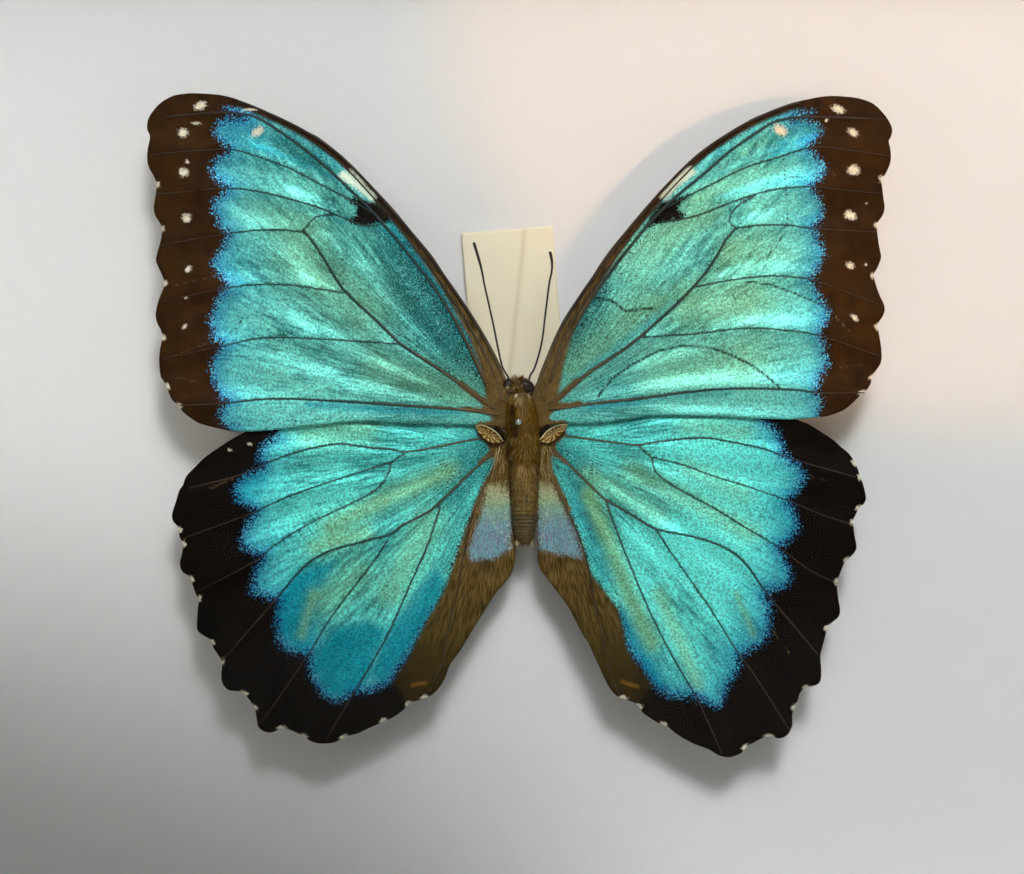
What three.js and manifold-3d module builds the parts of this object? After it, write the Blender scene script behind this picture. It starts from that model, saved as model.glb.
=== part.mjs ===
// A spread butterfly, pinned over its data label in a wooden shadow-box frame.
// Millimetres, +Z up. The frame stands on its bottom edge with its glass facing -Y.
// Origin: middle of the footprint, on the surface that the bottom rail stands on.
import * as THREE from "three";
import { mergeVertices } from "three/addons/utils/BufferGeometryUtils.js";
import Module from "manifold-3d";

const wasm = await Module();
wasm.setup();

// Driving dimensions of the frame
const SIGHT_WIDTH = 190; // opening seen from the front
const SIGHT_HEIGHT = 160;
const RAIL_FACE = 15; // width of a rail seen from the front
const FRAME_DEPTH = 40;
const LIP_DEPTH = 4; // front lip that holds the glass
const RABBET = 6; // how far the rabbet is cut in behind the lip
const EDGE_ROUND = 1.2; // eased front edges
const GAP = 0.3; // clearance between neighbouring pieces
const GLASS = 2;
const SPACER_DEPTH = 20; // holds the glass clear of the specimen
const SPACER_SETBACK = 1; // spacer's face behind the lip's edge
const BOARD = 5; // foam board that the pin goes into
const PANEL = 3; // hardboard back
const OUTER_HEIGHT = SIGHT_HEIGHT + 2 * RAIL_FACE;

// Driving dimensions of the specimen: x right, y up, z out of the board
const WING_PLANE = 9; // wing roots above the board
const WING_THICK = 0.4;
const SHEET_STEPS = [8, 5]; // facets along and across a wing
const COSTA = 0.55; // radii of the veins: front edge, main stem, inner stem, branch
const STEM = 0.5;
const INNER_STEM = 0.45;
const BRANCH = 0.33;
const WING_RISE = 0.9; // crown of the wings between root and tip
const HALF_SPAN = 53;
const HIND_BELOW = 1.2; // hindwings lie this far behind the forewings
const ANAL_FOLD = 1.5; // dip of the hindwings beside the abdomen
const ANAL_FOLD_WIDTH = 9;
const BODY_X = 0.75; // the body's middle line
const PIN_RADIUS = 0.25;
const PIN_SINK = 3.5; // how far the pin goes into the board
const PIN_TOP = 16;
const PIN_HEAD = [0.45, 0.45, 0.35];
const HOLE_RADIUS = PIN_RADIUS + GAP;
const PIN_AT = new THREE.Vector2(-0.1, 0.4);
const LABEL_WIDTH = 13.4;
const LABEL_LENGTH = 33;
const LABEL_THICK = 0.3;
const LABEL_TURN = 4.7; // degrees
const LABEL_FOOT = new THREE.Vector2(0.95, -4.25); // middle of its lower edge

// Driving dimensions of the back's fittings
const TAB = { width: 10, length: 12, shoulder: 7.2, thick: 0.6 };
const HANGER = { width: 44, height: 11, thick: 1, drop: 26 };
const HANGER_TEETH = { count: 11, depth: 2.2, span: 27 };
const HANGER_RIVET = { radius: 2.2, apart: 35, up: 6.8, proud: 0.6 };

const finish = (color, roughness, metalness = 0) =>
  new THREE.MeshStandardMaterial({ color, roughness, metalness });
const finishes = {
  wood: finish(0x6b442a, 0.45),
  glass: finish(0xdfeaea, 0.02),
  board: finish(0xdfe3e0, 0.9),
  hardboard: finish(0x7a5a3c, 0.85),
  steel: finish(0xb9bcc0, 0.35, 1),
  brass: finish(0xb8964f, 0.35, 1),
  wing: finish(0x3fb5b3, 0.4),
  body: finish(0x6e4e1e, 0.9),
  antenna: finish(0x2a1c10, 0.6),
  card: finish(0xebe3be, 0.9),
};

// Solids

function toManifold(geometry) {
  const bare = geometry.clone();
  bare.deleteAttribute("normal");
  bare.deleteAttribute("uv");
  const merged = mergeVertices(bare, 1e-4);
  return new wasm.Manifold(
    new wasm.Mesh({
      numProp: 3,
      vertProperties: new Float32Array(merged.attributes.position.array),
      triVerts: new Uint32Array(merged.index.array),
    })
  );
}

function toGeometry(solid) {
  const mesh = solid.getMesh();
  const geometry = new THREE.BufferGeometry();
  geometry.setAttribute("position", new THREE.BufferAttribute(mesh.vertProperties, 3));
  geometry.setIndex(new THREE.BufferAttribute(mesh.triVerts, 1));
  const shaded = geometry.toNonIndexed();
  shaded.computeVertexNormals();
  return shaded;
}

function piece(name, geometry, material) {
  const mesh = new THREE.Mesh(geometry, material);
  mesh.name = name;
  return mesh;
}

function prism(points, low, high) {
  const shape = new THREE.Shape(points.map(([x, y]) => new THREE.Vector2(x, y)));
  const geometry = new THREE.ExtrudeGeometry(shape, { depth: high - low, bevelEnabled: false });
  return toManifold(geometry.translate(0, 0, low));
}

function ellipsoid(centre, radii, around = 16, rings = 10) {
  const geometry = new THREE.SphereGeometry(1, around, rings);
  return toManifold(geometry.scale(...radii).translate(...centre));
}

function tube(points, radius, steps, sides = 6) {
  const section = new THREE.Shape();
  for (let i = 0; i < sides; i++) {
    const turn = (i / sides) * 2 * Math.PI;
    const at = [radius * Math.cos(turn), radius * Math.sin(turn)];
    if (i === 0) section.moveTo(...at);
    else section.lineTo(...at);
  }
  const path = new THREE.CatmullRomCurve3(points.map((p) => new THREE.Vector3(...p)));
  const geometry = new THREE.ExtrudeGeometry(section, {
    steps,
    extrudePath: path,
    bevelEnabled: false,
  });
  return toManifold(geometry);
}

function rod(x, y, low, high, radius, sides = 12) {
  const geometry = new THREE.CylinderGeometry(radius, radius, high - low, sides);
  return toManifold(geometry.rotateX(Math.PI / 2).translate(x, y, (low + high) / 2));
}

// Wooden frame: four mitred rails of one section, which has a rabbet behind its front lip

function railSection() {
  const e = EDGE_ROUND;
  const shape = new THREE.Shape();
  shape.moveTo(RAIL_FACE, FRAME_DEPTH);
  shape.lineTo(RABBET, FRAME_DEPTH);
  shape.lineTo(RABBET, LIP_DEPTH);
  shape.lineTo(0, LIP_DEPTH);
  shape.lineTo(0, e);
  shape.absarc(e, e, e, Math.PI, 1.5 * Math.PI, false);
  shape.lineTo(RAIL_FACE - e, 0);
  shape.absarc(RAIL_FACE - e, e, e, 1.5 * Math.PI, 2 * Math.PI, false);
  return shape;
}

// The section's x runs out from the sight edge and its y runs back from the front.
// Each end is cut at 45 degrees, so the rail is longer the further out a point is.
function rail(sightLength, across) {
  const geometry = new THREE.ExtrudeGeometry(railSection(), {
    depth: 1,
    bevelEnabled: false,
    curveSegments: 3,
  });
  const p = geometry.attributes.position;
  for (let i = 0; i < p.count; i++) {
    const out = p.getX(i);
    const back = p.getY(i);
    const end = p.getZ(i) > 0.5 ? -1 : 1;
    p.setXYZ(i, end * (sightLength / 2 + out - GAP / 2), back, across / 2 + out);
  }
  geometry.computeVertexNormals();
  return geometry;
}

function frameRails() {
  const group = new THREE.Group();
  const rails = [
    ["frame_rail_top", SIGHT_WIDTH, SIGHT_HEIGHT, 0],
    ["frame_rail_right", SIGHT_HEIGHT, SIGHT_WIDTH, Math.PI / 2],
    ["frame_rail_bottom", SIGHT_WIDTH, SIGHT_HEIGHT, Math.PI],
    ["frame_rail_left", SIGHT_HEIGHT, SIGHT_WIDTH, -Math.PI / 2],
  ];
  for (const [name, length, across, turn] of rails) {
    const mesh = piece(name, rail(length, across), finishes.wood);
    mesh.rotation.y = turn;
    group.add(mesh);
  }
  group.position.set(0, -FRAME_DEPTH / 2, OUTER_HEIGHT / 2);
  return group;
}

// What the rabbet holds, from front to back

const glassFront = LIP_DEPTH + GAP;
const spacerFront = glassFront + GLASS + GAP;
const boardFront = spacerFront + SPACER_DEPTH + GAP;
const panelFront = boardFront + BOARD + GAP;
const panelBack = panelFront + PANEL;
const fillWidth = SIGHT_WIDTH + 2 * (RABBET - GAP);
const fillHeight = SIGHT_HEIGHT + 2 * (RABBET - GAP);

function slab(name, width, height, front, thick, material, x = 0, z = 0) {
  const mesh = piece(name, new THREE.BoxGeometry(width, thick, height), material);
  mesh.position.set(x, front + thick / 2 - FRAME_DEPTH / 2, z + OUTER_HEIGHT / 2);
  return mesh;
}

function glazing() {
  return slab("glass_pane", fillWidth, fillHeight, glassFront, GLASS, finishes.glass);
}

function spacers() {
  const group = new THREE.Group();
  const width = RABBET - GAP - SPACER_SETBACK;
  const sideHeight = fillHeight - 2 * (width + GAP);
  for (const [name, side] of [["spacer_top", 1], ["spacer_bottom", -1]]) {
    const z = side * (fillHeight - width) / 2;
    group.add(slab(name, fillWidth, width, spacerFront, SPACER_DEPTH, finishes.board, 0, z));
  }
  for (const [name, side] of [["spacer_right", 1], ["spacer_left", -1]]) {
    const x = side * (fillWidth - width) / 2;
    group.add(slab(name, width, sideHeight, spacerFront, SPACER_DEPTH, finishes.board, x, 0));
  }
  return group;
}

function mountBoard() {
  const [w, h] = [fillWidth / 2, fillHeight / 2];
  const block = prism([[-w, -h], [w, -h], [w, h], [-w, h]], -BOARD, 0);
  const hole = rod(PIN_AT.x, PIN_AT.y, -PIN_SINK - GAP, 1, HOLE_RADIUS);
  return piece("mount_board", toGeometry(block.subtract(hole)), finishes.board);
}

function backPanel() {
  return slab("back_panel", fillWidth, fillHeight, panelFront, PANEL, finishes.hardboard);
}

// Sprung steel tabs, driven into the rabbet's wall, which press the panel in
function turnTabs() {
  const group = new THREE.Group();
  const outline = [
    [-TAB.width / 2, 0],
    [TAB.width / 2, 0],
    [TAB.width / 2, TAB.shoulder],
    [0, TAB.length],
    [-TAB.width / 2, TAB.shoulder],
  ];
  const places = [
    ["retaining_tab_top_left", -SIGHT_WIDTH / 4, fillHeight / 2, Math.PI],
    ["retaining_tab_top_right", SIGHT_WIDTH / 4, fillHeight / 2, Math.PI],
    ["retaining_tab_bottom_left", -SIGHT_WIDTH / 4, -fillHeight / 2, 0],
    ["retaining_tab_bottom_right", SIGHT_WIDTH / 4, -fillHeight / 2, 0],
    ["retaining_tab_side_left", -fillWidth / 2, 0, -Math.PI / 2],
    ["retaining_tab_side_right", fillWidth / 2, 0, Math.PI / 2],
  ];
  const back = panelBack + GAP - FRAME_DEPTH / 2;
  for (const [name, x, z, turn] of places) {
    const mesh = piece(name, toGeometry(prism(outline, 0, TAB.thick)), finishes.steel);
    mesh.geometry.rotateZ(turn).rotateX(Math.PI / 2);
    mesh.position.set(x, back + TAB.thick, z + OUTER_HEIGHT / 2);
    group.add(mesh);
  }
  return group;
}

// Sawtooth hanger: a stamped brass strip, riveted to the panel's top middle
function sawtoothHanger() {
  const { width, height, thick, drop } = HANGER;
  const half = width / 2;
  const shoulder = height * 0.3;
  const corner = height * 0.2;
  const pitch = HANGER_TEETH.span / HANGER_TEETH.count;
  const edge = [];
  for (let i = 0; i < HANGER_TEETH.count; i++) {
    const x = i * pitch - HANGER_TEETH.span / 2;
    edge.push([x, HANGER_TEETH.depth], [x + pitch / 2, 0]);
  }
  const outline = [
    [-half, shoulder],
    ...edge,
    [HANGER_TEETH.span / 2, HANGER_TEETH.depth],
    [half, shoulder],
    [half, height - corner],
    [half - corner, height],
    [corner - half, height],
    [-half, height - corner],
  ];
  let solid = prism(outline, 0, thick);
  for (const side of [-1, 1]) {
    const x = (side * HANGER_RIVET.apart) / 2;
    const top = thick + HANGER_RIVET.proud;
    solid = solid.add(rod(x, HANGER_RIVET.up, thick / 2, top, HANGER_RIVET.radius));
  }
  const mesh = piece("sawtooth_hanger", toGeometry(solid), finishes.brass);
  mesh.geometry.rotateX(Math.PI / 2).rotateZ(Math.PI);
  const back = panelBack + GAP - FRAME_DEPTH / 2;
  mesh.position.set(0, back, OUTER_HEIGHT / 2 + fillHeight / 2 - drop);
  return mesh;
}

// Specimen

const smooth = (low, high, value) => THREE.MathUtils.smoothstep(value, low, high);

// Height of a wing's middle surface over the board
function foreHeight(x) {
  return WING_PLANE + WING_RISE * Math.sin((Math.PI * Math.abs(x)) / (HALF_SPAN * 1.15));
}
function hindHeight(x, y) {
  const inFold = 1 - smooth(0, ANAL_FOLD_WIDTH, Math.abs(x - BODY_X));
  const fold = ANAL_FOLD * inFold * smooth(2, 9, -y);
  return foreHeight(x) - HIND_BELOW - fold;
}

const foreLeft = {
  outline: [
    [0, -0.4], [0, 4], [-1.2, 5.2], [-1.95, 6.9], [-4, 11.3], [-7.2, 16.6], [-10.75, 21.7],
    [-15, 27.3], [-20, 33.1], [-25.1, 38.3], [-30, 41.75], [-35, 44.3], [-40, 46.35], [-43.5, 47.1],
    [-47.9, 47.2], [-51.2, 45.9], [-52.75, 43.9], [-52.8, 41.1], [-53, 37.9], [-51.7, 34.4],
    [-52.1, 31.1], [-50.9, 27.5], [-51.7, 23.7], [-50.6, 20], [-51.8, 15.8], [-50.9, 12.3],
    [-51.3, 9], [-51.1, 7], [-49.5, 3.7], [-46.8, 1], [-43.1, -0.4], [-40.2, -0.9], [-35, -0.7],
    [-26.9, 0.2], [-15, 0.2], [-5.5, -0.3],
  ],
  veins: [
    [COSTA, [-3.2, 5.5], [-8.5, 16.6], [-17, 28], [-28, 38.9], [-40, 44.9]],
    [STEM, [-3.5, 2.6], [-10, 6.9], [-18.7, 13], [-25, 19.3], [-30.7, 27.6]],
    [BRANCH, [-22.8, 28.6], [-31.3, 31.7], [-41.7, 33.7], [-51.8, 33]],
    [BRANCH, [-30.8, 27.5], [-37.5, 27.8], [-51.1, 25.6]],
    [BRANCH, [-25, 18.8], [-35.6, 20.1], [-51.2, 17.6]],
    [BRANCH, [-16.9, 11.5], [-32.9, 12.6], [-51, 9.4]],
    [BRANCH, [-4.9, 1.7], [-25.4, 3.4], [-35, 3.7], [-48.5, 2.8]],
  ],
};

const foreRight = {
  outline: [
    [1.2, -0.3], [6.5, 0.2], [11.9, 0.3], [20, 1.45], [29.5, 1.25], [38.7, 0.8], [42, 1.05],
    [45, 1.6], [47.6, 3.2], [50.1, 5.9], [51.4, 8.5], [51.7, 10.5], [51.1, 14.3], [52.1, 16.4],
    [50.7, 21], [51.6, 23.8], [51, 28.4], [52.15, 31], [51.7, 35], [53, 38.1], [52.7, 40.7],
    [52.95, 42.9], [50.95, 45.5], [48.4, 46.6], [45, 46.9], [40, 46.15], [35, 44.4], [30, 41.8],
    [25, 38.3], [20, 33.3], [15, 27.45], [10.4, 21.15], [6.3, 15], [4, 10], [2.4, 5.8], [1.5, 4.5],
    [1, 3],
  ],
  veins: [
    [COSTA, [3.4, 6], [8.6, 17], [17.6, 28.7], [28, 38.9], [40.5, 44.7]],
    [STEM, [4, 2.9], [10, 7.5], [18.9, 14], [25.9, 20.9], [30.9, 28]],
    [BRANCH, [20.4, 28.9], [30, 31.6], [40, 33.9], [51.8, 33]],
    [BRANCH, [30.9, 28], [37.8, 28.5], [51, 27.5]],
    [BRANCH, [25.3, 19.7], [35.4, 21.2], [51.9, 17]],
    [BRANCH, [17.4, 12.5], [34.6, 13.8], [51.7, 9.8]],
    [BRANCH, [5, 2.25], [26.5, 4.85], [34.6, 5.2], [49.3, 4.6]],
  ],
};

const hindLeft = {
  outline: [
    [0, -1.5], [-5, 0.3], [-12, 2], [-22, 2.6], [-32, 1.4], [-39.5, -1.2], [-43.3, -3.5],
    [-46.2, -5.9], [-48, -8.6], [-49.6, -13], [-48.3, -16.3], [-48.4, -20.1], [-46.7, -22.6],
    [-45.8, -25.1], [-45.9, -29.3], [-43.6, -31.9], [-42.4, -34.1], [-42.1, -37.3], [-39.3, -38.4],
    [-37.7, -40.6], [-37.1, -43.2], [-35.6, -43.9], [-33.9, -43.4], [-29.2, -45.3], [-26.5, -45.3],
    [-21.5, -43.3], [-17.9, -41.7], [-15.7, -39.8], [-12.4, -38.5], [-10.4, -35.7], [-8.3, -32.1],
    [-5, -26.7], [-2, -22.6], [-0.65, -20], [-0.4, -17], [0, -15], [0, -5],
  ],
  veins: [
    [BRANCH, [-3.5, -1.2], [-11.6, -3.1], [-25.6, -2.7], [-37, -5.8], [-46, -9]],
    [BRANCH, [-18.3, -5.3], [-30, -9.1], [-47.8, -16]],
    [BRANCH, [-18.3, -5.4], [-20.4, -9.2], [-33.9, -16.5], [-45.5, -23.5]],
    [INNER_STEM, [-4.5, -4.7], [-11, -11.1], [-18.2, -15.5], [-28.1, -18.6], [-34.6, -24.8], [-42, -33]],
    [BRANCH, [-18.7, -16.4], [-27, -27.7], [-36.8, -42.6]],
    [BRANCH, [-11.3, -11.8], [-15.4, -22.4], [-27.5, -45]],
    [BRANCH, [-3.6, -6.5], [-7.7, -17.2], [-11, -34], [-13, -38.4]],
  ],
};

const hindRight = {
  outline: [
    [1.6, -5], [1.6, -1.2], [5.5, 0.5], [12, 3], [22, 4], [32, 3.2], [40, 0.65], [43.6, -1.25],
    [47.1, -4], [48.7, -7.25], [49.5, -10.3], [47.9, -13.6], [48.1, -17.5], [46.3, -20],
    [45.5, -22.6], [45.8, -26.6], [44.2, -28.9], [43, -33.1], [42.9, -36.7], [40.1, -38.3],
    [39, -41.4], [38.5, -44], [37, -44.7], [34.9, -44.6], [31.9, -46.7], [30, -47.4], [27.1, -46.3],
    [22.2, -43.9], [17.6, -41], [14.1, -38.8], [12.2, -36.2], [10, -31.3], [7.8, -27.4],
    [3.95, -21.9], [2.7, -19.4], [2.5, -16], [1.6, -14],
  ],
  veins: [
    [BRANCH, [5, -1.3], [10.5, -2.2], [25.9, -1.8], [38.4, -4.6], [47, -7.5]],
    [BRANCH, [18.9, -4.6], [30, -7.9], [47.5, -14]],
    [BRANCH, [18.9, -4.6], [20.7, -7.9], [32.8, -14.9], [45.6, -21.6]],
    [INNER_STEM, [4.6, -3.6], [12.2, -10.5], [19.5, -14.8], [29, -17.3], [35.6, -24.3], [42.6, -33.5]],
    [BRANCH, [19.5, -14.9], [27.9, -27.1], [37.8, -42.6]],
    [BRANCH, [12.3, -10.6], [17.4, -23.6], [28.6, -45.5]],
    [BRANCH, [4.2, -7.6], [9.5, -18.6], [13, -35.1], [14.3, -37.9]],
  ],
};

// A thin crowned sheet with raised veins, cut to the wing's outline
function wing({ outline, veins }, height) {
  const xs = outline.map(([x]) => x);
  const ys = outline.map(([, y]) => y);
  const [left, right] = [Math.min(...xs) - 1, Math.max(...xs) + 1];
  const [low, high] = [Math.min(...ys) - 1, Math.max(...ys) + 1];
  const sheet = new THREE.BoxGeometry(right - left, high - low, WING_THICK, ...SHEET_STEPS);
  sheet.translate((left + right) / 2, (low + high) / 2, 0);
  const p = sheet.attributes.position;
  for (let i = 0; i < p.count; i++) {
    p.setZ(i, p.getZ(i) + height(p.getX(i), p.getY(i)));
  }
  let solid = toManifold(sheet);
  for (const [radius, ...route] of veins) {
    const points = route.map(([x, y]) => [x, y, height(x, y)]);
    solid = solid.add(tube(points, radius, route.length, 4));
  }
  return solid.intersect(prism(outline, 0, 2 * WING_PLANE));
}

// Body: lumps of [place, radii, facets], their heights measured from each part's own middle
const headHeight = WING_PLANE + 0.4;
const headLumps = {
  skull: [[0, 5.75, 0], [1.8, 1.15, 1.5], [12, 8]],
  rightEye: [[1.2, 5.6, 0.3], [1.05, 0.9, 1.15], [10, 6]],
  leftEye: [[-1.4, 6, 0.3], [0.8, 0.8, 1.05], [10, 6]],
  leftPalp: [[-0.5, 6.9, -0.5], [0.4, 0.95, 0.45], [6, 5]],
  rightPalp: [[0.35, 6.8, -0.5], [0.4, 0.9, 0.45], [6, 5]],
};
const thoraxHeight = WING_PLANE - 0.8;
const thoraxLumps = {
  front: [[0.5, 1.75, 0], [2.2, 2.55, 2.9], [12, 8]],
  middle: [[0.55, 0.1, 0], [2.3, 2.6, 2.95], [12, 8]],
  rear: [[0.65, -1.7, 0], [2.35, 2.9, 3], [12, 8]],
  leftShoulder: [[-1.3, 2.1, 0.5], [1, 1.7, 1.2], [8, 6]],
  rightShoulder: [[2.5, 2.1, 0.5], [1, 1.7, 1.2], [8, 6]],
  leftHip: [[-1.9, -1.6, 0], [1, 1.5, 1], [8, 6]],
  rightHip: [[3.1, -1.6, 0], [1, 1.5, 1], [8, 6]],
};

// grow is added all round, for the room that a neighbour leaves
function lumps(form, height, grow) {
  return Object.values(form)
    .map(([[x, y, z], radii, facets]) =>
      ellipsoid([x, y, height + z], radii.map((r) => r + grow), ...facets)
    )
    .reduce((solid, lump) => solid.add(lump));
}
const headSolid = (grow = 0) => lumps(headLumps, headHeight, grow);
const thoraxSolid = (grow = 0) => lumps(thoraxLumps, thoraxHeight, grow);

// Four walking legs, folded under the thorax
const LEG_RADIUS = 0.28;
function legs() {
  const routes = [
    [[-0.3, 1.5, 6], [-2.6, 3.2, 3.6], [-1.2, 0.2, 2.9], [-0.6, -3.6, 3.4]],
    [[1.5, 1.5, 6], [3.8, 3.2, 3.6], [2.4, 0.2, 2.9], [1.9, -3.6, 3.4]],
    [[-0.3, -1.5, 6], [-3, -0.6, 3.6], [-1.7, -4, 2.8], [-1, -7.4, 3.2]],
    [[1.5, -1.5, 6], [4.3, -0.6, 3.6], [3, -4, 2.8], [2.4, -7.4, 3.2]],
  ];
  return routes.map((route) => tube(route, LEG_RADIUS, 6, 4));
}

// Widest at its third segment, with a shallow groove between segments
const ABDOMEN_LENGTH = 12;
const ABDOMEN_RADIUS = 1.8;
const ABDOMEN_WAIST = 1.2;
const ABDOMEN_SEGMENTS = 8;
const GROOVE = 0.93;
function abdomenSolid(grow = 0) {
  const profile = [new THREE.Vector2(0, -grow), new THREE.Vector2(ABDOMEN_WAIST + grow, -grow)];
  const steps = 2 * ABDOMEN_SEGMENTS;
  for (let i = 1; i < steps; i++) {
    const along = i / steps;
    const swell = Math.sin(Math.PI * Math.pow(along, 0.72)) ** 0.42;
    const groove = i % 2 === 0 ? GROOVE : 1;
    profile.push(new THREE.Vector2(ABDOMEN_RADIUS * swell * groove + grow, along * ABDOMEN_LENGTH));
  }
  profile.push(new THREE.Vector2(0, ABDOMEN_LENGTH + grow));
  const geometry = new THREE.LatheGeometry(profile, 14);
  geometry.rotateX(Math.PI).rotateZ(0.02).translate(BODY_X, -4.95, WING_PLANE - 1.2);
  return toManifold(geometry);
}

// A thin stalk with a slight club, which leans forward as it goes out
const ANTENNA = { radius: 0.19, club: 0.27, lean: 0.45, clubPoints: 3 };
function antenna(side, route, headGrown) {
  const points = route.map(([x, y], i) => [x, y, headHeight + (i + 1) * ANTENNA.lean]);
  const shaft = tube(points, ANTENNA.radius, 3 * route.length, 6);
  const club = tube(points.slice(-ANTENNA.clubPoints), ANTENNA.club, 5, 6);
  const solid = shaft.add(club).subtract(headGrown);
  return piece(`antenna_${side}`, toGeometry(solid), finishes.antenna);
}

function dataLabel() {
  const [w, l] = [LABEL_WIDTH / 2, LABEL_LENGTH];
  const card = prism([[-w, 0], [w, 0], [w, l], [-w, l]], 0, LABEL_THICK)
    .rotate([0, 0, LABEL_TURN])
    .translate([LABEL_FOOT.x, LABEL_FOOT.y, GAP]);
  const hole = rod(PIN_AT.x, PIN_AT.y, -1, 2, HOLE_RADIUS);
  return piece("data_label", toGeometry(card.subtract(hole)), finishes.card);
}

function insectPin() {
  const shaft = rod(PIN_AT.x, PIN_AT.y, -PIN_SINK, PIN_TOP, PIN_RADIUS);
  const knob = ellipsoid([PIN_AT.x, PIN_AT.y, PIN_TOP], PIN_HEAD, 12, 8);
  return piece("insect_pin", toGeometry(shaft.add(knob)), finishes.steel);
}

function specimen() {
  const group = new THREE.Group();
  const bodyRoom = thoraxSolid(GAP).add(headSolid(GAP)).add(abdomenSolid(GAP));
  const wings = [
    ["forewing_left", foreLeft, foreHeight],
    ["forewing_right", foreRight, foreHeight],
    ["hindwing_left", hindLeft, hindHeight],
    ["hindwing_right", hindRight, hindHeight],
  ];
  for (const [name, form, height] of wings) {
    const solid = wing(form, height).subtract(bodyRoom);
    group.add(piece(name, toGeometry(solid), finishes.wing));
  }
  const thorax = legs().reduce((solid, leg) => solid.add(leg), thoraxSolid());
  const pinHole = rod(PIN_AT.x, PIN_AT.y, -1, PIN_TOP, HOLE_RADIUS);
  group.add(piece("thorax", toGeometry(thorax.subtract(pinHole)), finishes.body));
  group.add(piece("head", toGeometry(headSolid()), finishes.body));
  group.add(piece("abdomen", toGeometry(abdomenSolid()), finishes.body));
  const headGrown = headSolid(GAP);
  const left = [[-1.3, 6.3], [-2.4, 8.4], [-3.6, 14], [-4.9, 19.85], [-5.9, 24.2], [-6.45, 26]];
  const right = [[1.4, 6.6], [2.2, 8.1], [3.4, 12.8], [4, 17.8], [4.7, 23.1], [4.4, 24.7]];
  group.add(antenna("left", left, headGrown), antenna("right", right, headGrown));
  group.add(insectPin());
  group.add(dataLabel());
  return group;
}

// The board and what is on it: z out of the board becomes -Y
const display = new THREE.Group();
display.add(mountBoard(), specimen());
display.rotation.x = Math.PI / 2;
display.position.set(0, boardFront - FRAME_DEPTH / 2, OUTER_HEIGHT / 2);

const framedButterfly = new THREE.Group();
framedButterfly.add(frameRails(), glazing(), spacers(), display, backPanel(), turnTabs());
framedButterfly.add(sawtoothHanger());

export default framedButterfly;
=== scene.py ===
"""A set blue butterfly, pinned over its label in a glazed wooden box frame, in a plain studio."""
import math

import bpy
import numpy as np
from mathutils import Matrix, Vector, geometry


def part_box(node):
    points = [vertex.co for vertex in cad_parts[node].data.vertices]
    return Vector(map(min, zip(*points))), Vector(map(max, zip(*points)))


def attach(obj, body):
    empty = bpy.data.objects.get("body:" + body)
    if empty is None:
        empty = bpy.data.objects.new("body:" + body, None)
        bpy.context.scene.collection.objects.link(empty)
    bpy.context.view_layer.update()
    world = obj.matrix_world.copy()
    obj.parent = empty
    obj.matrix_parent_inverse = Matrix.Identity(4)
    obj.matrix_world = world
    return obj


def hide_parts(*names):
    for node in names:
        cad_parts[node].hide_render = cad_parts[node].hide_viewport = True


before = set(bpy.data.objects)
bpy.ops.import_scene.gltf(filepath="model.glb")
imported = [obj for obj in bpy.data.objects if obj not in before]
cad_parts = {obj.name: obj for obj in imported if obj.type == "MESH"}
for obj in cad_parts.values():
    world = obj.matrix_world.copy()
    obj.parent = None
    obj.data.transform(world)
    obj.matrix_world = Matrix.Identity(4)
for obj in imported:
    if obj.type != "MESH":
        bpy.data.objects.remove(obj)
bpy.ops.object.select_all(action="DESELECT")
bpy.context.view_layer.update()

# Studio. A camera straight in front of the wings, a pale floor, a soft cool light from high in
# front, and a small warm one from the right, whose shadows fall to the left of what casts them.
MM = 0.001
VIEW_WIDTH = 1024 / 7  # millimetres across the picture at the wings, at 7 pixels to one
VIEW_MIDDLE = (-1.0, -1.7)
CAMERA_DISTANCE = 350  # from the wings
WING_PLANE = 9  # wing roots over the board
board_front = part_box("mount_board")[0].y
glass_low, glass_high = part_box("glass_pane")
middle_height = (glass_low.z + glass_high.z) / 2


def at(x, y, z=0.0):
    """A place on the specimen, in millimetres right, up and out of the board, in the frame."""
    return Vector((x * MM, board_front - z * MM, middle_height + y * MM))


def aim(light, target):
    """Turns a lamp so that it shines at the target."""
    direction = Vector(target) - light.location
    light.rotation_euler = direction.to_track_quat("-Z", "Y").to_euler()


bpy.ops.object.camera_add(location=at(*VIEW_MIDDLE, WING_PLANE + CAMERA_DISTANCE))
camera = bpy.context.object
camera.rotation_euler = (math.pi / 2, 0, 0)
camera.data.lens = camera.data.sensor_width * CAMERA_DISTANCE / VIEW_WIDTH
bpy.context.scene.camera = camera
bpy.context.scene.view_settings.view_transform = "Standard"


def lamp(kind, place, target, color, power, **settings):
    """Adds a lamp that shines at its target."""
    bpy.ops.object.light_add(type=kind, location=place)
    light = bpy.context.object
    aim(light, target)
    light.data.color = color
    light.data.energy = power
    for name, value in settings.items():
        setattr(light.data, name, value)
    return light


# The cool lamp, a fainter one on the left wings, the warm one, which lights only the upper right,
# and a wide one behind the frame for its back
lamp("AREA", at(100, 520, 800), at(0, 0), (0.97, 0.96, 1.0), 3.16, shape="DISK", size=0.2)
lamp("SPOT", at(-430, 160, 820), at(-71, 14), (1.0, 0.88, 0.82), 3.3,
     shadow_soft_size=0.035, spot_size=math.radians(8.5), spot_blend=1)
warm = lamp("SPOT", at(600, -80, 950), at(69, 52), (1.0, 0.50, 0.19), 9.7,
            shadow_soft_size=0.008, spot_size=math.radians(5.5), spot_blend=0.06)
warm.scale.x = 1.3
lamp("AREA", (0.9, 1.6, 1.2), (0, 0, 0.1), (1.0, 0.98, 0.95), 14, shape="DISK", size=0.9)

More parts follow.
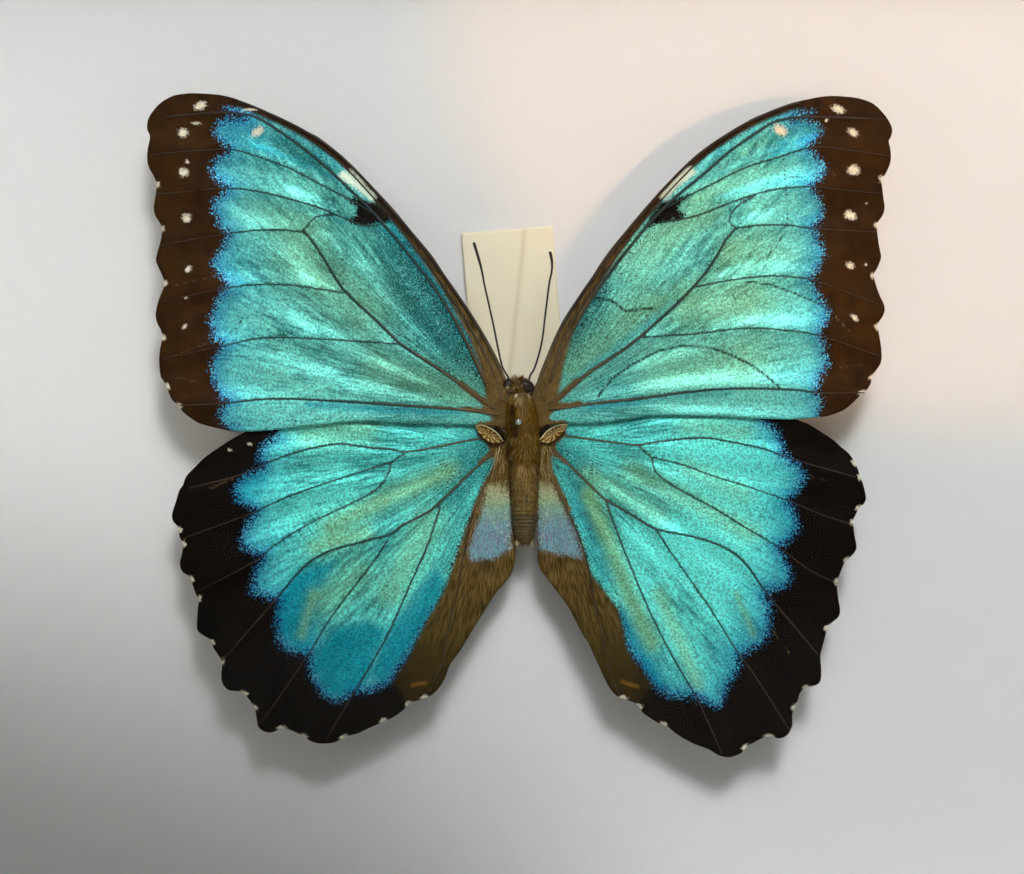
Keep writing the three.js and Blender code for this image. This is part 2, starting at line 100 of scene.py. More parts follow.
# A card that the camera doesn't see keeps the cool lamp off the lower left of the board
FLAG_HEIGHT = 160
FLAG = [(-90, 90), (-52, 86), (-32.5, 82), (10, 61), (20, 53), (26, 38), (26, 20), (-90, 20)]
mesh = bpy.data.meshes.new("flag")
mesh.from_pydata([at(x, y, FLAG_HEIGHT) for x, y in FLAG], [], [range(len(FLAG))])
flag = bpy.data.objects.new("flag", mesh)
bpy.context.scene.collection.objects.link(flag)
flag.visible_camera = False
flag.visible_glossy = False
flag.visible_transmission = False

bpy.ops.mesh.primitive_plane_add(size=6, location=(0, 0, 0))
floor = bpy.context.object
floor.name = "floor"


def linear(code):
    """An sRGB colour such as '6b442a' as the linear RGBA that a node takes."""
    parts = [int(code[i:i + 2], 16) / 255 for i in (0, 2, 4)]
    levels = [c / 12.92 if c <= 0.04045 else ((c + 0.055) / 1.055) ** 2.4 for c in parts]
    return (*levels, 1.0)


def add(tree, kind, inputs, out=0, **settings):
    """Adds a node with its settings, its values and its links, and gives one of its outputs."""
    made = tree.nodes.new("ShaderNode" + kind)
    for name, value in settings.items():
        setattr(made, name, value)
    for name, value in inputs.items():
        if isinstance(value, bpy.types.NodeSocket):
            tree.links.new(value, made.inputs[name])
        else:
            made.inputs[name].default_value = value
    return made.outputs[out] if len(made.outputs) else None


COLORS = {"out": 2, "data_type": "RGBA"}  # a Mix node's settings where it mixes colours


def finish(name):
    """A new material with an empty tree."""
    made = bpy.data.materials.new(name)
    made.use_nodes = True
    made.node_tree.nodes.clear()
    return made, made.node_tree


# Painted plaster: pale, flat and faintly mottled.
plaster, tree = finish("painted_plaster")
place = add(tree, "TexCoord", {}, out="Object")
mottle = add(tree, "TexNoise", {"Vector": place, "Scale": 6.0, "Detail": 4.0})
tone = add(tree, "Mix", {0: mottle, 6: linear("d9d8d4"), 7: linear("e2e1dd")}, **COLORS)
skin = add(tree, "BsdfPrincipled", {"Base Color": tone, "Roughness": 0.85})
add(tree, "OutputMaterial", {"Surface": skin})
floor.data.materials.append(plaster)
flag.data.materials.append(plaster)

world = bpy.data.worlds.new("studio")
bpy.context.scene.world = world
world.use_nodes = True
WORLD_COLOR = (1.0, 1.0, 0.96, 1.0)  # a weak light from all round, which fills the shadows
WORLD_STRENGTH = 0.16
world.node_tree.nodes["Background"].inputs["Color"].default_value = WORLD_COLOR
world.node_tree.nodes["Background"].inputs["Strength"].default_value = WORLD_STRENGTH


# Frame rails. Four lengths of oiled walnut with a rabbet behind the front lip, mitred, glued and
# sanded, with their edges eased.
EDGE_EASE = 0.9 * MM
JOINT = 0.03 * MM  # half the width of the joint line
frame_low, frame_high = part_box("frame_rail_bottom")[0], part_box("frame_rail_top")[1]
RAIL_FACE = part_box("frame_rail_top")[1].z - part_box("frame_rail_top")[0].z
LIP = 4 * MM
RABBET = 6 * MM


def walnut(name, grain):
    """Oiled black walnut, sawn along the grain: mid brown, with darker figure, fine lines and
    short dark pores along the length, and a satin surface that the pores break."""
    made, tree = finish(name)
    place = add(tree, "TexCoord", {}, out="Object")
    stretch = (0.06, 1, 1) if grain == "X" else (1, 1, 0.06)
    lengthwise = add(tree, "Mapping", {"Vector": place, "Scale": stretch})
    figure = add(tree, "TexNoise", {"Vector": lengthwise, "Scale": 1 / (11 * MM), "Detail": 5.0,
                                    "Roughness": 0.6, "Distortion": 0.9})
    lines = add(tree, "TexNoise", {"Vector": lengthwise, "Scale": 1 / (1.1 * MM), "Detail": 4.0})
    pores = add(tree, "TexNoise", {"Vector": lengthwise, "Scale": 1 / (0.35 * MM), "Detail": 1.0})
    pore = add(tree, "MapRange", {"Value": pores, "From Min": 0.62, "From Max": 0.72})
    ramp = add(tree, "MapRange", {"Value": figure, "From Min": 0.3, "From Max": 0.72})
    wood = add(tree, "Mix", {0: ramp, 6: linear("7d5233"), 7: linear("47301e")}, **COLORS)
    streak = add(tree, "MapRange", {"Value": lines, "From Min": 0.35, "From Max": 0.7,
                                    "To Min": 1.12, "To Max": 0.8})
    lined = add(tree, "Mix", {0: 1.0, 6: wood, 7: streak}, **COLORS, blend_type="MULTIPLY")
    color = add(tree, "Mix", {0: pore, 6: lined, 7: linear("26170d")}, **COLORS)
    rough = add(tree, "MapRange", {"Value": pore, "To Min": 0.42, "To Max": 0.75})
    relief = add(tree, "Math", {0: lines, 1: pore}, operation="SUBTRACT")
    bump = add(tree, "Bump", {"Height": relief, "Strength": 0.25, "Distance": 0.08 * MM})
    skin = add(tree, "BsdfPrincipled", {"Base Color": color, "Roughness": rough, "Normal": bump})
    add(tree, "OutputMaterial", {"Surface": skin})
    return made


walnut_across = walnut("walnut_across", "X")
walnut_upright = walnut("walnut_upright", "Z")


def mitre(point, normal):
    """Cuts the mesh being edited by a plane, and closes the cut."""
    bpy.ops.mesh.select_all(action="SELECT")
    bpy.ops.mesh.bisect(plane_co=point, plane_no=normal, use_fill=True, clear_outer=True)


def apply_modifier(piece, kind, **settings):
    """Adds a modifier with its settings, and applies it."""
    modifier = piece.modifiers.new(kind.lower(), kind)
    for name, value in settings.items():
        setattr(modifier, name, value)
    bpy.context.view_layer.objects.active = piece
    bpy.ops.object.modifier_apply(modifier=modifier.name)


def block(name, low, high):
    """A cuboid between two corners, with its place in its mesh."""
    bpy.ops.mesh.primitive_cube_add(size=1, location=(Vector(low) + Vector(high)) / 2)
    made = bpy.context.object
    made.name = name
    made.scale = Vector(high) - Vector(low)
    bpy.ops.object.transform_apply(location=True, rotation=True, scale=True)
    return made


left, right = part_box("frame_rail_left")[0].x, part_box("frame_rail_right")[1].x
front, foot = frame_low.yz
back, top = frame_high.yz
centre = Vector(((left + right) / 2, 0, (foot + top) / 2))
rails = [
    ("rail_top", (left, front, top - RAIL_FACE), (right, back, top), walnut_across),
    ("rail_bottom", (left, front, foot), (right, back, foot + RAIL_FACE), walnut_across),
    ("rail_left", (left, front, foot), (left + RAIL_FACE, back, top), walnut_upright),
    ("rail_right", (right - RAIL_FACE, front, foot), (right, back, top), walnut_upright),
]
inner_low = Vector((left + RAIL_FACE - RABBET, front + LIP, foot + RAIL_FACE - RABBET))
inner_high = Vector((right - RAIL_FACE + RABBET, back + LIP, top - RAIL_FACE + RABBET))
for name, low, high, wood in rails:
    rail = block(name, low, high)
    bpy.ops.object.mode_set(mode="EDIT")
    across = wood is walnut_across
    for x in (left, right):
        for z in (foot, top):
            corner = Vector((x, 0, z))
            inward = Vector((math.copysign(1, centre.x - x), 0, math.copysign(1, centre.z - z)))
            # The cut runs along the frame's diagonal, and the rail keeps its own side of it
            away = Vector((-inward.x, 0, inward.z)) if across else Vector((inward.x, 0, -inward.z))
            near = (low[2] <= z <= high[2]) if across else (low[0] <= x <= high[0])
            if near:
                mitre(corner - away.normalized() * JOINT, away)
    bpy.ops.object.mode_set(mode="OBJECT")
    hollow = block("rabbet", inner_low, inner_high)
    apply_modifier(rail, "BOOLEAN", object=hollow, operation="DIFFERENCE", solver="EXACT")
    bpy.data.objects.remove(hollow)
    apply_modifier(rail, "BEVEL", width=EDGE_EASE, segments=3, limit_method="ANGLE",
                   angle_limit=math.radians(60), use_clamp_overlap=True)
    rail.data.materials.append(wood)
    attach(rail, "root")
    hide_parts("frame_" + name)
    bpy.ops.object.select_all(action="DESELECT")


# Glass. A 2 mm pane with cut edges, laid in the rabbet against the lip. It is coated against
# reflections, as picture glass is: its low refraction stands for the coating.
pane = block("pane", glass_low, glass_high)
apply_modifier(pane, "BEVEL", width=0.25 * MM, segments=2)
glass, tree = finish("coated_float_glass")
skin = add(tree, "BsdfPrincipled", {"Base Color": linear("fafdfc"), "Roughness": 0.0, "IOR": 1.12,
                                    "Transmission Weight": 1.0})
add(tree, "OutputMaterial", {"Surface": skin})
pane.data.materials.append(glass)
pane.visible_shadow = False
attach(pane, "root")
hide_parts("glass_pane")


# Spacers and mount board. White foam board: a foam core between two faces of smooth matte paper,
# cut with a knife. The strips hold the glass clear of the pin.
# The paper's fibres are drawn coarser than real ones, so that they show.
foam_board, tree = finish("paper_faced_foam_board")
place = add(tree, "TexCoord", {}, out="Object")
cloud = add(tree, "TexNoise", {"Vector": place, "Scale": 1 / (60 * MM), "Detail": 1.0})
fibre = add(tree, "TexNoise", {"Vector": place, "Scale": 1 / (0.6 * MM), "Detail": 1.0})
color = add(tree, "Mix", {0: cloud, 6: linear("ebebe8"), 7: linear("f2f1ee")}, **COLORS)
bump = add(tree, "Bump", {"Height": fibre, "Strength": 0.12, "Distance": 0.05 * MM})
skin = add(tree, "BsdfPrincipled", {"Base Color": color, "Roughness": 0.82, "Normal": bump,
                                    "Specular IOR Level": 0.3})
add(tree, "OutputMaterial", {"Surface": skin})
for name in ("spacer_top", "spacer_bottom", "spacer_left", "spacer_right", "mount_board"):
    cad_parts[name].data.materials.clear()
    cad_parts[name].data.materials.append(foam_board)


# Data label. A slip of cream card, cut by hand, that lies on the board under the specimen with
# the pin through it. It has aged, has a soft crease down its middle and lifts at one edge.
LABEL = {"width": 13.4, "length": 33.0, "thick": 0.2, "turn": 4.7, "foot": (0.95, -4.25)}
LABEL_STEPS = (40, 90)


def build(name, parts, materials):
    """One mesh object from parts. Each part has points in specimen millimetres, faces, the
    number of its material, and marks: named values for each point, for the material to read."""
    points, faces, finishes, marks, first = [], [], [], {}, 0
    total = sum(len(part["points"]) for part in parts)
    for part in parts:
        count = len(part["points"])
        points.extend(at(*p) for p in part["points"])
        faces.extend([i + first for i in face] for face in part["faces"])
        finishes.extend(np.broadcast_to(part.get("finish", 0), len(part["faces"])))
        for key, values in part.get("marks", {}).items():
            marks.setdefault(key, np.zeros(total, np.float32))[first:first + count] = values
        first += count
    mesh = bpy.data.meshes.new(name)
    mesh.from_pydata(points, [], faces)
    mesh.polygons.foreach_set("material_index", np.array(finishes, np.int32))
    mesh.polygons.foreach_set("use_smooth", np.ones(len(faces), bool))
    for key, values in marks.items():
        mesh.attributes.new(key, "FLOAT", "POINT").data.foreach_set("value", values)
    for material in materials:
        mesh.materials.append(material)
    mesh.update()
    made = bpy.data.objects.new(name, mesh)
    bpy.context.scene.collection.objects.link(made)
    return made


def slab_faces(columns, rows):
    """Faces of a closed slab of two grids of points, the back one after the front one."""
    faces, back = [], columns * rows
    for j in range(rows - 1):
        for i in range(columns - 1):
            a = j * columns + i
            faces.append((a, a + 1, a + columns + 1, a + columns))
            faces.append((back + a + columns, back + a + columns + 1, back + a + 1, back + a))
    rim = list(range(columns))
    rim += [j * columns + columns - 1 for j in range(1, rows)]
    rim += [(rows - 1) * columns + i for i in range(columns - 2, -1, -1)]
    rim += [j * columns for j in range(rows - 2, 0, -1)]
    for a, b in zip(rim, rim[1:] + rim[:1]):
        faces.append((a, back + a, back + b, b))
    return faces


def label_part():
    """The card's two faces: crease and lift are heights over the board."""
    columns, rows = LABEL_STEPS
    half = LABEL["width"] / 2
    turn = math.radians(LABEL["turn"])
    points, crease = [], []
    for side in (1, 0):
        for j in range(rows):
            for i in range(columns):
                u = (i / (columns - 1) - 0.5) * LABEL["width"]
                v = j / (rows - 1) * LABEL["length"]
                x = LABEL["foot"][0] + u * math.cos(turn) - v * math.sin(turn)
                y = LABEL["foot"][1] + u * math.sin(turn) + v * math.cos(turn)
                fold = math.exp(-((u - 1.8 - 0.19 * (v - 28.6)) / 0.35) ** 2)
                lift = 0.45 * max(0, -u / half) ** 2 + 0.15 * max(0, u / half) ** 3
                points.append((x, y, 0.12 + lift + 0.10 * fold + side * LABEL["thick"]))
                crease.append(fold)
    return {"points": points, "faces": slab_faces(columns, rows), "marks": {"crease": crease}}


# Aged card: cream, a little browner in clouds, with short fibres and a darker line in the crease that is
# painted shade.
card, tree = finish("aged_cream_card")
place = add(tree, "TexCoord", {}, out="Object")
cloud = add(tree, "TexNoise", {"Vector": place, "Scale": 1 / (7 * MM), "Detail": 3.0})
fibre = add(tree, "TexNoise", {"Vector": place, "Scale": 1 / (0.35 * MM), "Detail": 4.0})
crease = add(tree, "Attribute", {}, out="Fac", attribute_name="crease")
color = add(tree, "Mix", {0: cloud, 6: linear("fff8dc"), 7: linear("fbeecb")}, **COLORS)
# Painted shade along the crease
shade = add(tree, "MapRange", {"Value": crease, "To Max": 0.35})
color = add(tree, "Mix", {0: shade, 6: color, 7: linear("cdbd92")}, **COLORS)
bump = add(tree, "Bump", {"Height": fibre, "Strength": 0.2, "Distance": 0.05 * MM})
skin = add(tree, "BsdfPrincipled", {"Base Color": color, "Roughness": 0.8, "Normal": bump,
                                    "Specular IOR Level": 0.3})
add(tree, "OutputMaterial", {"Surface": skin})
label = build("label_card", [label_part()], [card])
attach(label, "root")
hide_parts("data_label")


# Wings. Dried membranes on stiff veins, covered in scales: turquoise ones that shine like metal,
# and near-black ones in the borders. The forewings lie over the hindwings' front edges.
WING_RISE = 0.9  # crown between root and tip
HALF_SPAN = 53
HIND_BELOW = 0.8  # how far the hindwings lie under the forewings
ANAL_FOLD = 1.5  # how far their inner margins droop beside the abdomen
ANAL_FOLD_WIDTH = 9
BODY_X = 0.75  # the abdomen's middle
WING_THICK = 0.14
NET_STEP = 0.36  # spacing of a wing's mesh
TOP_SCALES, LOW_SCALES, CHITIN = range(3)  # a wing's materials, in order
RIM_STEPS = 4  # mesh points along each stretch of an outline


def smoothstep(low, high, value):
    """From 0 at low to 1 at high, without a kink."""
    t = np.clip((value - low) / (high - low), 0, 1)
    return t * t * (3 - 2 * t)


def fore_height(x, y):
    """The forewings' height over the board."""
    return WING_PLANE + WING_RISE * np.sin(math.pi * np.abs(x) / (HALF_SPAN * 1.15))


def hind_height(x, y):
    """The hindwings' height over the board."""
    in_fold = 1 - smoothstep(0, ANAL_FOLD_WIDTH, np.abs(x - BODY_X))
    return fore_height(x, y) - HIND_BELOW - ANAL_FOLD * in_fold * smoothstep(2, 9, -y)


def curve(route, steps, closed=False):
    """A smooth line through a route's points (a Catmull-Rom spline)."""
    p = np.array(route, float)
    p = np.vstack([p[-1:], p, p[:2]]) if closed else np.vstack([2 * p[0] - p[1], p, 2 * p[-1] - p[-2]])
    a, b, c, d = p[:-3], p[1:-2], p[2:-1], p[3:]
    t = (np.arange(steps) / steps)[None, :, None]
    a, b, c, d = (q[:, None, :] for q in (a, b, c, d))
    line = 0.5 * (2 * b + (c - a) * t + (2 * a - 5 * b + 4 * c - d) * t**2 + (3 * b - a - 3 * c + d) * t**3)
    line = line.reshape(-1, p.shape[1])
    return line if closed else np.vstack([line, p[-2]])


def distance(points, route):
    """How far each point is from a route, and how far along the route its nearest place is."""
    line = np.array(route, float)
    if len(line) == 1:
        return np.hypot(*(points - line[0]).T), np.zeros(len(points))
    a, b = line[:-1], line[1:]
    length = np.hypot(*(b - a).T)
    start = np.concatenate([[0], np.cumsum(length)])
    best = np.full(len(points), np.inf)
    along = np.zeros(len(points))
    for i in range(len(a)):
        step = b[i] - a[i]
        t = np.clip((points - a[i]) @ step / max(step @ step, 1e-12), 0, 1)
        d = np.hypot(*(points - a[i] - t[:, None] * step).T)
        closer = d < best
        best[closer] = d[closer]
        along[closer] = ((start[i] + t * length[i]) / start[-1])[closer]
    return best, along


def inside(points, polygon):
    """Whether each point lies in the polygon, by counting crossings."""
    p = np.array(polygon, float)
    within = np.zeros(len(points), bool)
    x, y = points.T
    for (x0, y0), (x1, y1) in zip(p, np.roll(p, -1, axis=0)):
        crosses = (y0 > y) != (y1 > y)
        rise = (y1 - y0) if abs(y1 - y0) > 1e-12 else 1e-12
        within ^= crosses & (x < (x1 - x0) * (y - y0) / rise + x0)
    return within


def depth_in(points, polygon):
    """Distance to a closed outline, positive inside it."""
    d = distance(points, list(polygon) + [polygon[0]])[0]
    return np.where(inside(points, polygon), d, -d)


def brushed(points, strokes):
    """Soft brush strokes: each has an amount, a half width in millimetres and its route."""
    total = np.zeros(len(points))
    for amount, width, *route in strokes:
        total += amount * np.exp(-((distance(points, route)[0] / width) ** 2))
    return total


def spotted(points, spots):
    """Oval spots: each has a place, a length, a width and a tilt in degrees."""
    total = np.zeros(len(points))
    for x, y, long, short, tilt in spots:
        turn = math.radians(tilt)
        u = (points[:, 0] - x) * math.cos(turn) + (points[:, 1] - y) * math.sin(turn)
        v = (points[:, 1] - y) * math.cos(turn) - (points[:, 0] - x) * math.sin(turn)
        size = np.sqrt((2 * u / long) ** 2 + (2 * v / short) ** 2)
        total = np.maximum(total, 1 - smoothstep(0.1, 1.7, size))
    return total


def ring_faces(rings, sides, closed=False):
    """Faces between rings of points that follow each other, and over both ends if closed."""
    faces = []
    for j in range(rings - 1):
        for k in range(sides):
            n = (k + 1) % sides
            faces.append((j * sides + k, j * sides + n, (j + 1) * sides + n, (j + 1) * sides + k))
    if closed:
        faces.append(tuple(range(sides - 1, -1, -1)))
        faces.append(tuple((rings - 1) * sides + k for k in range(sides)))
    return faces


def tube(route, widths, height, lift=0.0, sides=6, steps=4, flat=1.0):
    """A round or flattened vein along a route: widths are its radii at the start and the end."""
    line = curve(route, steps)
    ahead = np.gradient(line, axis=0)
    ahead /= np.hypot(*ahead.T)[:, None]
    side = np.stack([-ahead[:, 1], ahead[:, 0]], 1)
    share = np.linspace(0, 1, len(line))
    radius = widths[0] + (widths[1] - widths[0]) * share
    z = height(line[:, 0], line[:, 1]) + lift
    points = []
    for k in range(sides):
        turn = 2 * math.pi * k / sides
        out = math.cos(turn) * radius
        points.append(np.column_stack([line + side * out[:, None], z + math.sin(turn) * radius * flat]))
    points = np.stack(points, 1).reshape(-1, 3)
    faces = ring_faces(len(line), sides, closed=True)
    return {"points": points, "faces": faces, "share": np.repeat(share, sides)}


# What the wings' shapes and markings follow, in millimetres right and up from the wings' middle.
# Veins have their radii at root and end, spots a place, length, width and tilt, and strokes an
# amount, a half width and a route. A hindwing's brown margin follows the blue's inner edge
# between its own first and second points.
INNER_EDGE = slice(-2, -13, -1)  # those points of the blue
# The light strokes are painted sheen and painted shade, and the deep strokes, the pools and the green strokes
# are painted shade along the folds.
fore_left = {
    "root": (-2.5, 2.0),
    "outline": [
        (-0.6, -0.4), (-0.6, 3.5), (-1.2, 5.0), (-1.95, 6.9), (-2.7, 8.7), (-4, 11.3), (-5.6, 13.9),
        (-7.2, 16.6), (-9, 19.1), (-10.75, 21.7), (-12.5, 24.3), (-15, 27.3), (-17.5, 30.35), (-20, 33.1),
        (-22.8, 36), (-25.1, 38.3), (-28.3, 40.8), (-30, 41.75), (-32.9, 43.3), (-35, 44.3), (-37.5, 45.25),
        (-40, 46.35), (-42, 46.9), (-43.5, 47.1), (-46.4, 47.3), (-47.9, 47.2), (-49.2, 47), (-50.3, 46.5),
        (-51.2, 45.9), (-52.1, 44.9), (-52.75, 43.9), (-53, 43), (-53, 42.1), (-52.6, 41.1), (-52.9, 39.4),
        (-53, 37.9), (-52.8, 36.8), (-52.1, 35.5), (-51.7, 34.4), (-51.8, 32.8), (-52.1, 31.1),
        (-51.9, 29.95), (-51.1, 28.6), (-50.9, 27.5), (-51.1, 26), (-51.75, 23.7), (-51.5, 22.7),
        (-51, 21.6), (-50.6, 20.5), (-50.7, 19.5), (-51.3, 18), (-51.8, 15.8), (-51.55, 14.5), (-51, 13.4),
        (-50.9, 12.2), (-51.2, 10.7), (-51.3, 9), (-51.1, 7), (-50.55, 6.1), (-50, 4.8), (-49.5, 3.7),
        (-48.7, 2.9), (-47.8, 1.8), (-46.8, 1), (-45.7, 0.3), (-44.6, -0.05), (-43.1, -0.4), (-42, -0.65),
        (-40.2, -0.9), (-37.5, -0.9), (-35, -0.7), (-32.9, -0.45), (-30, -0.15), (-26.9, 0.2), (-22.5, 0.5),
        (-15, 0.2), (-8, 0), (-4, -0.3),
    ],
    "costa": [
        (-0.8, 3.5), (-1.4, 5.2), (-1.95, 6.9), (-4, 11.3), (-7.2, 16.6), (-10.75, 21.7), (-15, 27.3),
        (-20, 33.1), (-25.1, 38.3), (-30, 41.75), (-35, 44.3), (-40, 46.35), (-43.5, 47.1), (-47.9, 47.2),
    ],
    "blue": [
        (3, -4), (3, 9), (-8, 26), (-24, 43), (-38, 48), (-40, 45.5), (-42.2, 45.1), (-41, 44.5),
        (-38.8, 43.8), (-41.7, 43.8), (-43, 43.05), (-43.6, 42.1), (-43.5, 41.4), (-42.8, 40.5),
        (-41.7, 39.3), (-41.7, 38.7), (-42.9, 38.3), (-43.9, 37.2), (-43.9, 35.9), (-43.1, 34.8),
        (-41.7, 33.9), (-42, 33.2), (-43.1, 32.4), (-43.8, 31.4), (-43.7, 30.4), (-43, 29.3), (-42.8, 28.2),
        (-41.6, 27.4), (-42, 26.8), (-42.2, 25.7), (-43.1, 24.6), (-43.8, 23.3), (-43.7, 22.6), (-43, 21.7),
        (-42.2, 20.6), (-41.6, 19.6), (-42.4, 19.1), (-43.3, 17.6), (-43.7, 16.2), (-44.3, 14.7),
        (-43.7, 13.6), (-43.9, 12.35), (-42.4, 11.4), (-43.1, 10.3), (-43.9, 8.8), (-44, 7.4), (-43.9, 6.3),
        (-43.1, 4.8), (-42.4, 3.7), (-41.6, 3.1), (-42.4, 2.4), (-42.9, 1.3), (-42.4, 0.2), (-41.3, -0.6),
        (-41, -4),
    ],
    "veins": [
        (0.22, 0.13, (-4.6, 5.5), (-6.4, 9.5), (-9.5, 15.6), (-13.4, 21.4), (-19.5, 28.8), (-23, 32.5),
         (-28.5, 37.6), (-32.9, 41), (-36.9, 43.6), (-40.2, 44.4), (-44.6, 44.4), (-50.5, 43.9)),
        (0.09, 0.07, (-21, 30.2), (-23, 31.5), (-28.3, 34.3), (-32.9, 36.65), (-37.5, 38.3), (-41.7, 39.3),
         (-49.4, 38.8), (-52.7, 38.5)),
        (0.09, 0.07, (-20.6, 28.4), (-22.8, 28.6), (-28.3, 30.9), (-32.9, 32.2), (-37.5, 33.3),
         (-41.7, 33.7), (-49.4, 33.1), (-51.6, 33)),
        (0.09, 0.07, (-30.8, 27.5), (-35, 27.8), (-39.3, 27.5), (-45.7, 26.6), (-51, 25.6)),
        (0.07, 0.08, (-30.8, 27.5), (-29.4, 29.2), (-28.3, 29.8), (-26.3, 29.9)),
        (0.24, 0.12, (-3.4, 2.3), (-5.8, 3.9), (-7.85, 5.5), (-12.5, 8.7), (-16.9, 11.6), (-20.1, 14.7),
         (-25, 19.3), (-27.7, 23.6), (-29.5, 26.3), (-30.7, 27.6)),
        (0.09, 0.07, (-25, 18.8), (-28.3, 19.35), (-33.3, 20), (-37.5, 20), (-42.2, 19.4), (-51.1, 17.6)),
        (0.09, 0.07, (-16.9, 11.5), (-22.5, 11.9), (-29.3, 12.3), (-36.6, 12.4), (-42, 11.3), (-51, 9.4)),
        (0.19, 0.08, (-2.85, 1.4), (-7.85, 2.2), (-15, 2.7), (-25.4, 3.4), (-35, 3.75), (-42, 3.1),
         (-48.4, 2.8)),
    ],
    "spots": [
        (-45.4, 45.5, 1.9, 1.3, 20), (-46, 42.95, 1.6, 0.4, -5), (-47.9, 41.7, 1.5, 1.4, 0),
        (-47.2, 37.5, 0.7, 0.5, 0), (-47.8, 36, 1.4, 1.3, 0), (-47.4, 29.5, 1.4, 1.3, 0),
        (-47.1, 22.2, 1.1, 0.8, 45), (-47.4, 18.1, 0.6, 0.2, 0), (-47.6, 14, 1.1, 0.6, 45),
        (-37.2, 41.8, 2.1, 1.3, 35), (-38.2, 44.9, 3.2, 0.35, 8),
    ],
    "fringe": [(-51, 28), (-50.7, 20.2), (-50.9, 12.5), (-50.2, 5.5), (-48.6, 2.7), (-51.7, 34.3)],
    "base": [
        (1.0, 1.3, (-1.6, 5), (-2.0, 2.4), (-2.3, 0)), (0.9, 0.55, (-8.2, 5.8), (-5.2, 3.5), (-3.2, 2)),
        (0.8, 0.5, (-7.6, 2.3), (-4.5, 2), (-2.6, 1.4)), (0.9, 0.6, (-5.6, 0), (-3.4, 0)),
    ],
    "cream": [
        (1.0, 0.8, (-24.9, 35.5), (-22.6, 34.0), (-20.9, 32.6)), (0.6, 0.5, (-23.7, 36.2), (-22.3, 34.9)),
    ],
    "bar": [
        (-24.5, 32.4), (-22.8, 32.2), (-20.2, 31.7), (-18.4, 30.1), (-18.2, 28.9), (-20, 28.7), (-22, 28.4),
        (-24.2, 28.9), (-23.2, 29.9), (-23, 30.9), (-23.9, 31.6),
    ],
    "scratches": [
        (0.7, 0.10, (-37.4, 18.9), (-38.8, 16.5), (-39.6, 15), (-40.6, 12)),
        (0.6, 0.09, (-44, 14.6), (-37, 12.9), (-33, 12.8), (-30, 14.1)),
        (0.5, 0.09, (-41.3, 10), (-42.3, 8)),
    ],
    "scrapes": [
        (0.6, 0.10, (-44.2, 11.7), (-48.9, 10)), (0.5, 0.10, (-43.5, 21.2), (-49, 19.9)),
        (0.35, 0.25, (-49, 6.8), (-46, 6.2)),
    ],
    "light": [
        (0.6, 3.2, (-24, 1.6), (-40, 1.4)), (0.25, 3, (-30, 25), (-38, 28)),
        (0.3, 2.2, (-30, 34), (-38, 35)), (0.3, 3, (-32, 17), (-39, 16)), (0.4, 3, (-28, 7.5), (-38, 7.5)),
        (0.3, 3, (-12, 19), (-20, 24)), (-0.55, 2.2, (-28, 38.4), (-36, 40), (-41, 42)),
        (-0.4, 1.6, (-10, 4), (-17, 5.4)), (-0.75, 3.4, (-4, 7), (-9, 17), (-16, 26)),
        (-0.45, 3.5, (-9, 9), (-17, 19)), (-0.35, 2.5, (-20, 27), (-13, 15)),
        (-0.25, 2, (-25, 22.5), (-28, 27)),
    ],
    "deep": [
        (0.75, 0.55, (-8, 1.7), (-20, 2.3), (-30, 2.9)), (0.55, 0.9, (-7, 12), (-12.5, 21), (-18.5, 28)),
        (0.35, 0.5, (-23, 33.4), (-30, 37), (-38, 40)), (0.3, 0.45, (-25, 29), (-38, 32.8)),
        (0.3, 0.4, (-20, 13.6), (-26, 19)),
    ],
    "green": [
        (0.45, 4, (-22, 16), (-31, 24)), (0.4, 3, (-8, 4.5), (-20, 8)), (0.3, 3, (-30, 28), (-38, 30)),
    ],
    "speck": [
        (0.9, 2.6, (-5, 8), (-10, 17), (-17, 26)), (0.45, 4, (-9, 8), (-16, 16)),
        (0.5, 1.2, (-28, 41), (-36, 44)), (0.3, 2, (-34, 12), (-42, 13)), (0.35, 1.2, (-26, 0.8), (-40, 0)),
    ],
    "ripple": [(0.5, 2.2, (-24, 1.8), (-38, 1.8)), (0.25, 4, (-26, 22), (-36, 24))],
}

